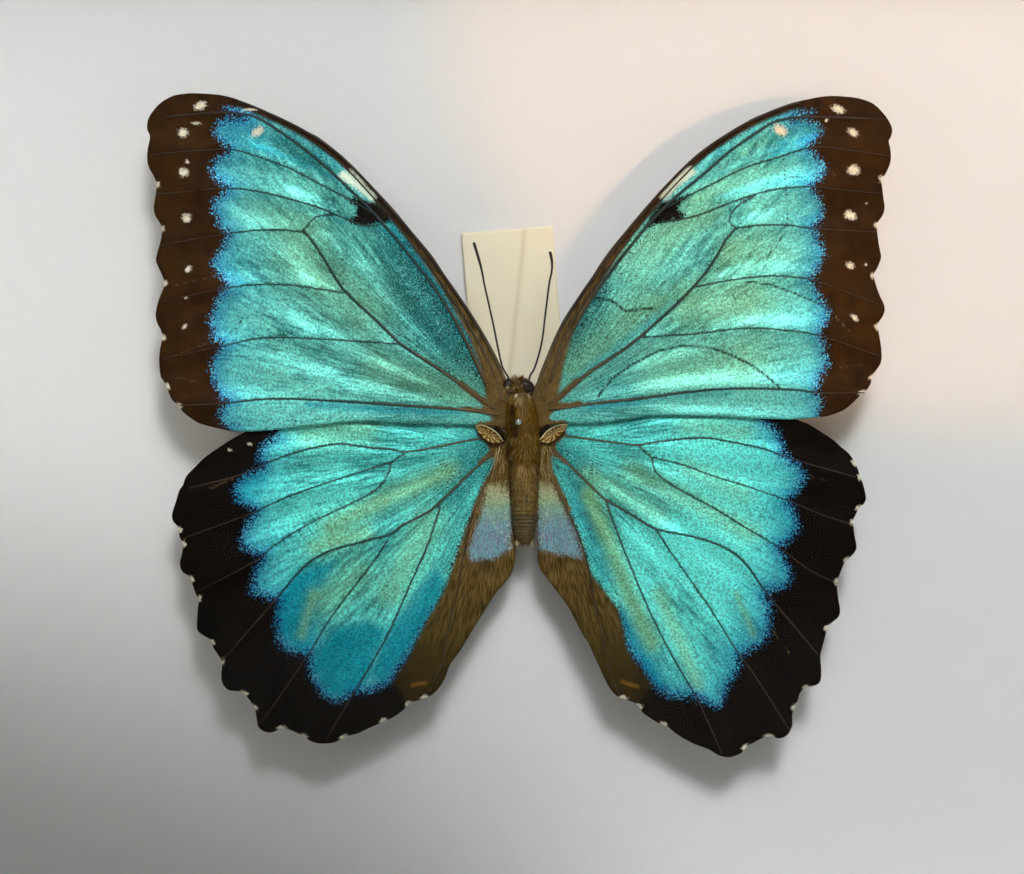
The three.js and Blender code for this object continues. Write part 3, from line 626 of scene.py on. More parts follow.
fore_right = {
    "root": (3.6, 2.2),
    "outline": [
        (1.4, 4.2), (2.4, 5.8), (3.1, 7.8), (4, 10), (5, 12.4), (6.3, 15), (7.8, 17.2), (8.9, 19),
        (10.4, 21.15), (11.8, 23.35), (13.3, 25.4), (15, 27.45), (16.5, 29.2), (18.3, 31.3), (20, 33.3),
        (21.2, 34.5), (23, 36.2), (25, 38.3), (27.7, 40.25), (30, 41.8), (31.7, 42.8), (33.35, 43.7),
        (35, 44.4), (36.8, 45.15), (38.65, 45.8), (40, 46.15), (41.6, 46.5), (43.2, 46.8), (45, 46.9),
        (46.9, 46.8), (48.4, 46.6), (50, 46.1), (50.95, 45.5), (51.7, 44.7), (52.4, 43.8), (52.95, 42.9),
        (53.2, 42.05), (53, 41.05), (52.7, 40.5), (52.9, 39.4), (53, 38.1), (52.8, 37), (52.2, 35.7),
        (51.7, 35), (51.8, 33.7), (52, 32.1), (52.15, 31), (51.85, 29.9), (51.2, 28.95), (51, 27.9),
        (51.2, 26.2), (51.5, 24.7), (51.6, 23.8), (51.1, 22.4), (50.6, 21.45), (50.85, 20.2), (51.4, 18.55),
        (51.95, 17.3), (52.1, 16.4), (51.8, 15.45), (51.1, 14.3), (51.3, 13.1), (51.6, 11.4), (51.7, 9.6),
        (51.4, 8.5), (50.5, 7.2), (50.1, 5.9), (49.5, 5), (48.7, 4.35), (47.6, 3.2), (46.4, 2.2), (45, 1.6),
        (43.8, 1.25), (42, 1.05), (40.5, 0.9), (38.7, 0.8), (35, 0.9), (31.9, 1.05), (29.5, 1.25),
        (25.4, 1.35), (20, 1.45), (17.7, 1.2), (11.9, 0.3), (6.5, 0.2), (2.2, -0.2), (1.4, 1.5),
    ],
    "costa": [
        (1.4, 4), (2.4, 5.8), (4, 10), (6.3, 15), (10.4, 21.15), (15, 27.45), (20, 33.3), (25, 38.3),
        (30, 41.8), (35, 44.4), (40, 46.15), (45, 46.9), (48.4, 46.6),
    ],
    "blue": [
        (-1, -4), (-1, 7), (9, 24), (24, 42), (38, 48), (40.2, 44.9), (42.2, 44.6), (41.2, 44.1),
        (38.7, 43.6), (40.9, 43.6), (42.3, 43.2), (43.1, 42.5), (43.15, 41.6), (42.3, 40.5), (41.4, 39.5),
        (42.1, 38.85), (43.1, 37.9), (43.6, 37), (43.4, 35.7), (42.5, 34.6), (41.7, 33.9), (42, 33.5),
        (42.9, 32.4), (43.5, 31), (43.4, 29.7), (42.5, 28.6), (42, 28), (42.7, 27.3), (43.1, 26),
        (43.5, 24.4), (43.2, 23.1), (42.3, 21.6), (41.7, 20.7), (42.7, 19.3), (43.2, 18.2), (44.2, 16.5),
        (44.3, 15.3), (43.6, 14), (42.9, 12.9), (43.8, 11.2), (44, 9.9), (44.3, 8.8), (43.4, 7.4),
        (42.7, 5.9), (42.4, 4.7), (43.1, 3.9), (43.2, 2.8), (42.9, 1.5), (42.6, -4),
    ],
    "veins": [
        (0.22, 0.13, (4.4, 6), (5.9, 9.8), (8.8, 15.6), (12.6, 21.2), (18.2, 28.3), (21.8, 32),
         (26.5, 35.9), (30, 38.95), (34.1, 41.8), (36.8, 43.3), (40.9, 43.9), (46, 43.8), (52.2, 43.6)),
        (0.09, 0.07, (21.2, 31), (22.7, 31.9), (27.7, 34.4), (31.9, 36.5), (36.8, 38.1), (42, 39.6),
         (46.5, 39.2), (52.7, 38.3)),
        (0.09, 0.07, (20.35, 28.9), (25, 29.7), (30, 31.6), (34.1, 33), (37.75, 33.7), (42, 33.9),
         (47, 33.4), (51.6, 33)),
        (0.09, 0.07, (30.9, 28), (34.1, 28.4), (37.75, 28.5), (42.7, 27.95), (50.9, 27.5)),
        (0.07, 0.08, (30.9, 28), (30.15, 28.6), (30, 29.5), (30.6, 30.6), (31.7, 31.6), (33.5, 32.6)),
        (0.24, 0.12, (4.1, 3), (6, 4.3), (10, 7.5), (15, 10.8), (18.9, 14), (23.3, 18.1), (25.9, 20.9),
         (27.7, 23.35), (29.4, 26.3), (30.9, 28)),
        (0.09, 0.07, (25.3, 19.7), (30, 20.6), (35.4, 21.2), (40.9, 20.85), (45, 19.6), (51.7, 17)),
        (0.09, 0.07, (17.4, 12.5), (25, 13), (32.3, 13.8), (38.7, 13.4), (43.2, 12.6), (51.6, 9.8)),
        (0.19, 0.08, (4.2, 2.1), (10, 3), (17.7, 3.85), (23.5, 4.65), (30.4, 5.2), (38.7, 5.05),
         (42.9, 4.6), (49.2, 4.6)),
    ],
    "spots": [
        (45.5, 45, 2.0, 1.2, -20), (43.8, 43.4, 0.6, 0.5, 0), (47.6, 41.7, 1.7, 1.1, -30),
        (47.7, 36.3, 1.9, 1.5, 0), (47.2, 29.9, 1.9, 1.3, -20), (49.6, 31.7, 0.5, 0.4, 0),
        (47.2, 22.7, 1.4, 1.0, -30), (49.4, 22.9, 0.5, 0.4, 0), (47.8, 15.3, 1.4, 0.7, -45),
        (37.2, 42, 2.3, 1.5, -30),
    ],
    "fringe": [(51.1, 28.5), (50.7, 21.3), (51.2, 14), (50.4, 6.8), (48.9, 4.6), (51.8, 35.1)],
    "base": [
        (1.0, 1.3, (2.4, 5.2), (2.8, 2.4), (3.0, 0)), (0.9, 0.55, (8.4, 6.4), (5.8, 4), (3.8, 2.4)),
        (0.8, 0.5, (8.6, 3.1), (5.2, 2.6), (3.4, 1.6)), (0.9, 0.6, (6.4, 0.2), (4, 0)),
    ],
    "cream": [
        (1.0, 0.85, (24.4, 36.1), (22.2, 34.4), (20.7, 32.8)), (0.6, 0.5, (23.4, 36.2), (22.0, 35.0)),
    ],
    "bar": [
        (20.3, 31.9), (21.8, 31.8), (23.6, 32.7), (24.4, 32.7), (23, 31.5), (22.6, 30.7), (23.6, 29.8),
        (23, 29.1), (21.8, 29.1), (20.4, 28.7), (19.2, 28.6), (18.1, 28.2), (18.9, 30.1),
    ],
    "scratches": [
        (1.0, 0.17, (11.3, 4), (13, 6.4), (16, 8.6), (20, 10.6), (23, 11.25), (27, 11.1), (30, 10.1),
         (33.2, 8.5), (35.9, 6.4), (37.1, 5.3)),
        (0.95, 0.2, (11, 18.2), (13, 17.8), (15.1, 16.3), (18.9, 16.6)),
        (0.95, 0.14, (31.9, 20.5), (36.1, 19.9), (39.6, 18.65), (42.7, 17.3), (44.2, 16.4)),
        (0.7, 0.11, (37.65, 38.1), (38, 33.5), (38.2, 29.1), (37, 25.8), (35.7, 24.6), (34.7, 21.8)),
        (0.6, 0.10, (30, 19), (31.2, 17.4)),
        (0.6, 0.09, (38.1, 35.3), (39.8, 35.3)),
        (0.5, 0.25, (30.2, 36.1), (36.1, 38.8)),
    ],
    "scrapes": [(0.6, 0.12, (44.9, 15.6), (47.1, 13.3)), (0.35, 0.25, (49, 8.6), (45.5, 8.2))],
    "light": [
        (0.95, 3, (22, 3), (42, 2.8)), (0.25, 3, (32, 24.5), (40, 26)), (0.45, 2.4, (28, 33.5), (39, 36)),
        (0.3, 3.2, (14, 21), (22, 28)), (0.5, 3, (30, 17), (40, 17)), (0.3, 2.6, (34, 30), (40, 31)),
        (0.5, 3, (20, 8), (40, 10)), (-0.6, 2.2, (4.6, 8), (8, 15), (13, 22)),
        (-0.3, 3, (10, 11), (19, 18)), (-0.25, 2, (26, 23), (28, 26)), (-0.45, 1.8, (37, 41), (41, 42)),
        (-0.3, 2, (42, 30), (42, 25)), (0.3, 3, (15, 19), (19, 24)),
    ],
    "deep": [
        (0.8, 0.5, (8, 6.6), (12, 9.6), (18, 14.1), (22, 17.6)), (0.55, 0.5, (10, 2.5), (22, 4), (30, 4.6)),
        (0.3, 0.5, (23, 30.6), (34, 34), (41, 35)), (0.3, 0.4, (22, 33.4), (30, 36.4), (38, 39.2)),
    ],
    "green": [
        (0.5, 3.6, (20, 7.5), (32, 9)), (0.5, 3.4, (24, 17), (32, 18)), (0.45, 3, (8, 8), (18, 17)),
        (0.4, 3, (14, 24), (26, 31)), (0.3, 2.6, (30, 25), (38, 24)),
    ],
    "speck": [
        (0.8, 2.4, (5, 9), (9, 16), (14, 23), (18, 27.5)), (0.35, 3.5, (10, 10), (20, 19)),
        (0.4, 1.2, (26, 38.5), (34, 42.5)), (0.25, 3, (28, 12), (40, 15)),
    ],
    "ripple": [
        (0.6, 2.6, (24, 3), (40, 3)), (0.3, 3.5, (26, 9), (38, 10)), (0.25, 3.5, (28, 17), (38, 18)),
    ],
}

hind_left = {
    "root": (-3.0, -3.2),
    "outline": [
        (-0.9, -2.5), (-2.6, -0.6), (-5, 0.3), (-12, 2), (-22, 2.6), (-32, 1.4), (-37.5, -0.2),
        (-39.5, -1.2), (-41, -2), (-43.3, -3.5), (-45, -4.7), (-46.2, -5.9), (-47.5, -7.25), (-48, -8.6),
        (-48.5, -9.3), (-49, -10.9), (-49.4, -12.1), (-49.6, -13), (-49.4, -13.8), (-48.8, -14.5),
        (-48.5, -15.95), (-48.05, -16.8), (-48.1, -18.2), (-48.4, -19.4), (-48.4, -20.1), (-48, -21),
        (-47.1, -21.6), (-46.7, -22.55), (-46.2, -23.95), (-45.8, -25.1), (-45.9, -26.35), (-46, -28.2),
        (-45.9, -29.3), (-45.1, -30), (-44.1, -30.65), (-43.6, -31.85), (-42.75, -33.1), (-42.4, -34.05),
        (-42.5, -35.3), (-42.5, -36.4), (-42.1, -37.3), (-41.3, -37.9), (-40, -38), (-39.3, -38.35),
        (-38.4, -39.3), (-37.7, -40.55), (-37.4, -42), (-37.2, -43), (-36.5, -43.65), (-35.6, -43.9),
        (-34.9, -43.75), (-33.95, -43.35), (-32.85, -43.5), (-31.6, -44), (-30.5, -44.7), (-29.2, -45.3),
        (-27.9, -45.4), (-26.5, -45.3), (-25.35, -44.85), (-24.4, -44.4), (-22.85, -43.95), (-21.5, -43.3),
        (-20.1, -42.7), (-17.9, -41.7), (-16.3, -40.5), (-15.7, -39.8), (-13.8, -39.1), (-12.4, -38.5),
        (-11.2, -37.2), (-10.4, -35.7), (-9.8, -34.15), (-8.3, -32.1), (-6.65, -29.3), (-5, -26.7),
        (-3.35, -24.1), (-2, -22.6), (-1.15, -21.4), (-0.65, -20), (-0.45, -18.6), (-0.4, -17), (-0.7, -15),
        (-0.9, -11.8), (-0.9, -9), (-0.7, -6),
    ],
    "costa": [(-4, 1.5), (-22, 4.5), (-38, 1.5)],
    "blue": [
        (3, 8), (-34, 6), (-34.75, -1.2), (-35.8, -1.9), (-36.5, -2.6), (-37.35, -3.6), (-37.5, -4.8),
        (-36.8, -5.8), (-38, -6.4), (-39.5, -7.1), (-40.5, -8.3), (-40.8, -9.7), (-40.5, -10.9),
        (-39.1, -11.6), (-37.9, -12.4), (-39.1, -13.9), (-39.6, -15.25), (-40, -16.8), (-39.5, -17.7),
        (-38.05, -18.4), (-36.7, -18.7), (-37.5, -19.8), (-38, -21.2), (-38.3, -22.55), (-38.7, -24),
        (-37.4, -24.5), (-35.6, -24.9), (-34.4, -25.2), (-34.9, -26.9), (-34.9, -28.55), (-34.8, -30),
        (-34.3, -31.5), (-32.85, -32.6), (-31.2, -32.75), (-30.1, -32.9), (-30.1, -33.85), (-30.3, -35.1),
        (-29.6, -36.6), (-28.65, -38.1), (-27.55, -39.2), (-26.1, -39.8), (-24.8, -39.4), (-23.9, -38.4),
        (-22.8, -38.3), (-21.3, -38.3), (-20.2, -37.9), (-18.7, -37.3), (-17.4, -35.7), (-16, -33.7),
        (-14.6, -31), (-13.25, -28.2), (-11.6, -25.5), (-10.2, -22.5), (-9.1, -19.2), (-8, -15.9),
        (-6.9, -12.9), (-5.55, -9.8), (-4.2, -6.8), (3, -3),
    ],
    "veins": [
        (0.12, 0.08, (-3.2, -1.6), (-7.75, -2.3), (-11.6, -3.1), (-16, -3.8), (-18.7, -3.4), (-21.5, -3.2),
         (-25.6, -2.7), (-30, -3.4), (-35, -5), (-39.8, -7.1), (-47, -9)),
        (0.07, 0.08, (-16, -3.9), (-18.3, -5.3)),
        (0.08, 0.07, (-18.3, -5.3), (-24.2, -7.2), (-30, -9.1), (-35, -11.1), (-38.4, -12.65),
         (-48, -16.2)),
        (0.08, 0.07, (-18.3, -5.4), (-18.7, -7.1), (-20.4, -9.2), (-24.2, -11.3), (-30.4, -14.3),
         (-35.1, -17.3), (-37.35, -19.25), (-46, -23.8)),
        (0.14, 0.09, (-3.7, -4), (-6.65, -6.5), (-10, -9.8), (-12.7, -12.2), (-16.8, -14.4), (-18.2, -15.5),
         (-22.9, -16.8), (-26.9, -17.9), (-30, -19.6), (-32.5, -22.2), (-34.6, -24.8), (-42.4, -33.6)),
        (0.08, 0.07, (-18.7, -16.4), (-20.9, -19.7), (-24.2, -23.9), (-27, -27.7), (-30.1, -32.8),
         (-36.9, -42.6)),
        (0.09, 0.07, (-11.3, -11.8), (-13, -17), (-15.4, -22.4), (-18.7, -29.9), (-21.5, -34.8),
         (-23.8, -38.6), (-27.6, -45)),
        (0.11, 0.10, (-3.4, -5.8), (-5, -9), (-6.65, -13.1), (-7.7, -17.2), (-8.85, -23.85), (-10.1, -29.1),
         (-11.05, -34), (-12.8, -38.2)),
    ],
    "spots": [(-38.4, -2.7, 0.8, 0.4, -30), (-41.3, -3.5, 0.8, 0.4, -30)],
    "fringe": [
        (-25, -44.6), (-30.8, -44.5), (-19.4, -42.2), (-15.7, -39.9), (-13.5, -38.9), (-48.7, -15),
        (-48, -17), (-46.9, -22), (-45.8, -24.8), (-44, -31), (-42.5, -33.8), (-39.3, -38.4),
        (-37.8, -40.3), (-33.9, -43.3),
    ],
    "orange": [(1.0, 0.42, (-15.3, -37.2), (-14.2, -36.9), (-13.2, -36.8))],
    "base": [
        (1.0, 1.3, (-1.8, -0.6), (-2.4, -3), (-2.2, -5.6)), (0.9, 0.7, (-5.4, -1.2), (-3.4, -3)),
        (0.75, 0.45, (-5.6, -5.4), (-3.4, -3.6)), (0.8, 0.6, (-3.0, -6), (-5.0, -9.2), (-6.2, -12)),
    ],
    "cream": [
        (0.45, 0.3, (-2.0, -12.5), (-1.5, -15), (-1.2, -18)),
        (0.5, 0.22, (-4.5, -12.5), (-3.3, -14.4), (-2, -16.5)),
    ],
    "brown": [(-2.5, -5), (-18, -37), (-14, -42), (4, -30), (4, -5)],
    "violet": [
        (-4.6, -8.6), (-2.2, -7.8), (-0.6, -12), (-1.3, -18), (-3.6, -19.2), (-6.8, -19.5), (-7.2, -18),
        (-6.4, -15), (-5.5, -12.5),
    ],
    "scratches": [
        (0.35, 0.14, (-26, -12), (-32.5, -13.7), (-37, -15.7)), (0.4, 0.10, (-21, -8.8), (-29, -11.6)),
    ],
    "scrapes": [(0.4, 0.3, (-44, -9), (-40.8, -7.6))],
    "light": [
        (0.6, 2.2, (-24, -9.5), (-38, -14)), (0.45, 2, (-22, -1.2), (-34, -2)),
        (0.5, 2, (-22, -14.3), (-34, -18.8)), (0.45, 2.4, (-12, -14), (-17, -27)),
        (0.3, 2, (-26, -6.5), (-38, -9)), (-0.6, 2.4, (-4.5, -3.5), (-10, -8)),
        (-0.3, 1.8, (-20, -5.8), (-33, -10)), (-0.35, 2.0, (-20, -16.5), (-31, -21)),
        (-0.3, 3, (-30, -25), (-26, -33)),
    ],
    "deep": [
        (0.75, 2.0, (-37, -8), (-40, -10)), (0.5, 0.5, (-30, -25.5), (-33, -29)),
        (0.25, 2, (-36, -17), (-38, -21)),
    ],
    "pools": [
        [(-26, -19.3), (-31.8, -21.2), (-35.1, -25.5), (-34.6, -29.3), (-30.8, -32.6), (-29.4, -31.2),
         (-28.9, -24.5)],
        [(-26, -28.8), (-21.8, -27.9), (-18.9, -29.3), (-21.3, -35), (-23.2, -38.3), (-27, -38.8),
         (-29.9, -34)],
        [(-11.8, -20.2), (-10.3, -23.1), (-12.7, -27.4), (-15.6, -31.7), (-19.4, -36.9), (-21.3, -35.5),
         (-17.5, -27.4), (-14.6, -23.1)],
    ],
    "green": [
        (0.8, 1.5, (-10, -6.5), (-20, -11), (-27, -14.5)), (0.75, 1.3, (-22, -15.4), (-29, -17.4)),
        (0.6, 0.8, (-29.3, -24), (-31, -30)), (0.6, 2.5, (-13, -14), (-18, -24)),
        (0.55, 2, (-22, -0.6), (-30, -1.6)), (0.5, 2.4, (-23, -21), (-27, -25)),
    ],
    "speck": [
        (0.6, 2.4, (-4, -4), (-10, -8)), (0.3, 3, (-14, -10), (-26, -16)), (0.35, 2, (-36, -6), (-39, -12)),
        (0.35, 2.6, (-8.5, -12), (-12, -20)),
    ],
    "ripple": [
        (0.9, 2.2, (-23, -14.5), (-32, -17)), (0.6, 2, (-24, -11.5), (-34, -14.4)),
        (0.4, 2, (-18, -1.5), (-30, -2)),
    ],
}

hind_right = {
    "root": (4.0, -3.0),
    "outline": [
        (2.2, -2.2), (3.6, -0.2), (5.5, 0.5), (12, 3), (22, 4), (32, 3.2), (37.5, 1.6), (40, 0.65),
        (41.2, 0.2), (42.4, -0.5), (43.6, -1.25), (45, -2.2), (46, -3.1), (47.1, -4), (47.8, -5),
        (48.3, -6), (48.7, -7.25), (49.2, -8.6), (49.5, -9.9), (49.55, -10.6), (49.25, -11.25),
        (48.65, -11.8), (48.2, -12.6), (47.8, -13.5), (47.75, -14.4), (47.95, -15.9), (48.2, -17.3),
        (47.95, -18.1), (47.25, -18.9), (46.55, -19.6), (46.1, -20.6), (45.6, -21.9), (45.4, -22.9),
        (45.6, -24.8), (45.85, -26.35), (45.6, -27.4), (44.9, -28), (44.3, -28.6), (43.9, -29.5),
        (43.65, -30.6), (43.3, -31.7), (43, -33.1), (43.15, -34.8), (43.1, -36.1), (42.75, -36.9),
        (41.8, -37.3), (40.7, -37.7), (40.1, -38.3), (39.85, -39.2), (39.35, -40.3), (39, -41.4),
        (39, -42.7), (38.6, -43.75), (38, -44.4), (37.05, -44.7), (35.95, -44.45), (34.9, -44.6),
        (33.75, -45.2), (32.5, -45.95), (31.75, -46.8), (30.8, -47.2), (30, -47.4), (28.8, -47.2),
        (28.1, -46.9), (27.15, -46.3), (26.1, -45.9), (25, -45.5), (23.5, -44.75), (22.2, -43.9),
        (21.1, -43), (20, -42.6), (18.7, -41.8), (17.6, -41), (16.9, -39.9), (15.2, -39.2), (14.1, -38.8),
        (13, -37.6), (12.2, -36.2), (11.5, -34.6), (10.55, -32.6), (10, -31.3), (8.9, -29.6), (7.8, -27.4),
        (6.7, -25.5), (5.3, -23.7), (3.95, -21.9), (3.1, -20.8), (2.7, -19.4), (2.6, -17.5), (2.55, -14.8),
        (2.5, -11.8), (2.5, -9), (2.2, -6),
    ],
    "costa": [(5, 2.5), (22, 6), (38, 3.4)],
    "blue": [
        (-2, 8), (34, 8), (34.9, 0.75), (36.5, -0.1), (37.3, -1.2), (37.9, -2.4), (38, -3.8), (39.3, -5),
        (40.6, -6), (41.2, -7.25), (40.8, -8.6), (39.8, -9.9), (38.7, -10.9), (39.1, -11.4), (39.8, -12.8),
        (40.1, -14.4), (39.8, -15.4), (38.7, -16.5), (37.5, -17.7), (38.2, -18.9), (38.7, -20.3),
        (39.1, -21.9), (38.6, -23.1), (37, -23.6), (35.5, -24.1), (36, -25.25), (36.15, -27.1), (36, -28.7),
        (35.6, -30.4), (34.9, -31.5), (33.75, -32), (32.5, -32.6), (31.6, -33.3), (31.6, -34.6),
        (30.8, -36.1), (29.9, -37.7), (29.5, -39.2), (28.8, -40.5), (27.5, -40.3), (26.25, -39.7),
        (25, -38.8), (23.5, -39.2), (21.5, -39), (19.6, -37.9), (18, -35.7), (16.3, -33.5), (15.2, -31.3),
        (14.9, -29.1), (14.1, -26.3), (12.5, -24.1), (10.3, -21.35), (9.2, -17.5), (7.5, -13.1),
        (5.9, -10.1), (4.2, -6.8), (-2, -3),
    ],
    "veins": [
        (0.12, 0.08, (4.2, -1.2), (7.8, -1.7), (14.1, -2.55), (16.9, -2.8), (20, -2.35), (25.9, -1.8),
         (30, -2.35), (35, -3.4), (39.4, -5), (48, -7.4)),
        (0.07, 0.08, (16.9, -2.8), (18.9, -4.6)),
        (0.08, 0.07, (18.9, -4.6), (23.5, -5.7), (27.6, -7.25), (31.95, -8.55), (35.6, -9.8), (38.7, -10.9),
         (43.25, -12.8), (47.7, -14.2)),
        (0.08, 0.07, (18.9, -4.6), (19.6, -6.8), (22.4, -8.9), (27.6, -11.7), (32.8, -14.9), (37.2, -17.5),
         (41.3, -20.6), (45.4, -22.6)),
        (0.14, 0.09, (4.6, -3.4), (7.6, -6.1), (10, -8.4), (12.2, -10.5), (16.3, -12.9), (19.5, -14.8),
         (24.8, -15.9), (29, -17.3), (31.8, -19.2), (33.9, -21.9), (35.6, -24.3), (43, -33.2)),
        (0.08, 0.07, (19.5, -14.9), (21.8, -18.3), (25, -22.9), (27.9, -27.1), (30.8, -31.85),
         (33.6, -35.7), (38.6, -43.6)),
        (0.09, 0.07, (12.3, -10.6), (13.7, -14.5), (16, -20.3), (18.8, -26.9), (22, -33.2), (25.3, -38.8),
         (29, -47)),
        (0.11, 0.10, (3.8, -6.4), (5.9, -10.1), (7.8, -14.2), (9.45, -18.6), (10.8, -25.2), (12.3, -31.8),
         (13.4, -36.4), (14.4, -38.5)),
    ],
    "spots": [],
    "fringe": [
        (14.8, -39), (16.9, -40.2), (20.6, -42.8), (32.3, -46), (35.6, -44.5), (39.5, -40.3), (41.1, -37.6),
        (44.1, -28.9), (45.5, -22.4), (46.9, -19.3), (47.8, -13.9), (48.6, -11.9), (48.7, -7.4),
        (47.9, -5.4),
    ],
    "orange": [(1.0, 0.45, (14.7, -36.6), (15.8, -37), (16.9, -37.3))],
    "base": [
        (1.0, 1.3, (3.0, -0.4), (3.4, -2.8), (3.2, -5.6)), (0.9, 0.7, (6.2, -1.2), (4.2, -2.8)),
        (0.75, 0.45, (6.6, -5.2), (4.4, -3.2)), (0.8, 0.6, (4.0, -6), (5.6, -9.2), (7.0, -12)),
    ],
    "cream": [(0.5, 0.25, (4.1, -11.6), (3.7, -14.2), (3.2, -17))],
    "brown": [(2.5, -5), (19, -37.2), (15, -43), (-4, -30), (-4, -5)],
    "violet": [
        (2.6, -7.6), (4.2, -7.6), (5.3, -9.3), (6.7, -12.3), (8.1, -15.3), (9.2, -18.3), (8.9, -19.2),
        (7, -18.75), (4.2, -18.2), (2.6, -17.8),
    ],
    "scratches": [(0.5, 0.10, (33, -3.1), (36.4, -2.6)), (0.4, 0.12, (38.8, -6), (37.8, -8.8))],
    "scrapes": [(0.6, 0.10, (36, -29), (38.5, -32.5)), (0.35, 0.25, (44, -8), (41.4, -7.2))],
    "light": [
        (0.75, 2.4, (22, -8.2), (38, -14)), (0.45, 2, (24, 0.6), (35, 0)), (0.9, 3.2, (21, -17), (31, -26)),
        (0.6, 3, (22, -3), (36, -6)), (0.9, 4, (28, -10), (30, -19)), (0.6, 1.6, (13, -18), (17, -26)),
        (-0.6, 1.6, (9, -9), (11, -15)), (0.45, 2, (16, -16), (22, -30)), (0.4, 2, (26, -3.6), (37, -7)),
        (0.45, 2.4, (24, -31), (28, -37)), (0.35, 2, (24, -13.6), (36, -19)),
        (-0.5, 2.2, (5, -3), (10, -7)), (-0.3, 1.8, (18, -7), (30, -13)),
        (-0.45, 1.3, (31, -25), (33.5, -29.5)), (-0.5, 0.5, (26, -8), (36, -14)),
        (-0.4, 0.5, (30, -3), (37, -6)),
    ],
    "deep": [
        (0.6, 1.5, (8.2, -10), (11, -16), (13, -22)), (0.85, 0.9, (14.8, -27), (17, -32), (20, -37)),
        (0.5, 2.6, (38, -12), (39, -15)), (0.3, 3, (33, -27), (30, -36)), (0.3, 2, (38, -19), (38, -22)),
    ],
    "green": [
        (0.6, 1.6, (16, -6.5), (26, -11.5), (33, -15.4)), (0.5, 1.4, (24, -6), (32, -10)),
        (0.95, 1.3, (10, -10), (13, -17), (15.6, -24), (19, -31)),
        (0.7, 1.0, (20, -24), (23, -31), (25.5, -37)), (0.5, 1.6, (10, -7), (20, -13)),
        (0.5, 1.6, (24, 0), (32, -1)), (0.6, 0.5, (31, -24), (33.5, -30)),
    ],
    "speck": [
        (0.6, 2.2, (5, -3), (10, -7)), (0.4, 2.2, (7.5, -11), (11, -18)), (0.3, 3, (14, -8), (26, -13)),
        (0.3, 2, (36, -10), (39, -14)),
    ],
    "ripple": [(0.5, 2.2, (24, -8), (34, -13)), (0.4, 2, (20, -1), (32, -1))],
}


STROKES = ("base", "cream", "orange", "scratches", "scrapes", "light", "deep", "green", "speck", "ripple")


def from_root(x, y, form):
    """The way out from the wing's root to a place, as an angle and a length."""
    rx, ry = x - form["root"][0], y - form["root"][1]
    return np.arctan2(ry, np.abs(rx)), np.hypot(rx, ry)


def wing_marks(points, form, edge):
    """What the wing's finish reads at each point: distances in millimetres and shares."""
    x, y = points.T
    marks = {"edge": edge}
    marks["blue"] = depth_in(points, form["blue"])
    costa, along = distance(points, curve(form["costa"], 4))
    # A forewing has a brown front edge and a black bar, a hindwing a brown inner margin
    if "bar" in form:
        # The brown is 4 mm wide at the root and soon narrows to 1.1
        band = 1.1 + 2.9 * np.exp(-along / 0.16) - costa
        marks["brown"] = smoothstep(-0.3, 0.3, band)
        marks["bar"] = depth_in(points, form["bar"])
    else:
        first, *others = form["brown"]
        margin = [first, *form["blue"][INNER_EDGE], *others]
        marks["brown"] = smoothstep(-0.35, 0.35, depth_in(points, margin))
        marks["bar"] = np.full(len(points), -9.0)
    marks["violet"] = smoothstep(-0.9, 1.1, depth_in(points, form["violet"])) if "violet" in form else 0 * x
    vein = np.full(len(points), 9.0)
    for start, end, *route in form["veins"]:
        d, share = distance(points, curve(route, 3))
        vein = np.minimum(vein, d - (start + (end - start) * share))
    marks["vein"] = vein
    marks["pale"] = spotted(points, form["spots"])
    fringe = spotted(points, [(fx, fy, 1.5, 1.0, 0) for fx, fy in form["fringe"]])
    marks["pale"] = np.maximum(marks["pale"], fringe * (edge < 0.55))
    for name in STROKES:
        marks[name] = brushed(points, form.get(name, []))
    for pool in form.get("pools", []):
        marks["deep"] = np.maximum(marks["deep"], 0.95 * smoothstep(-0.8, 0.8, depth_in(points, pool)))
    marks["fan"], marks["reach"] = from_root(x, y, form)
    return marks


def relief(marks, points):
    """Pleats between the veins, and fine ripples across them."""
    pleat = 0.24 * (1 - smoothstep(0, 2.4, marks["vein"])) * smoothstep(2, 14, marks["reach"])
    wave = np.sin(marks["reach"] * 4.2 + 3 * np.sin(marks["fan"] * 23)) * marks["ripple"] * 0.035
    sway = 0.15 * np.sin(marks["fan"] * 31 + points[:, 0] * 0.12) * smoothstep(6, 20, marks["reach"])
    return pleat + wave + sway


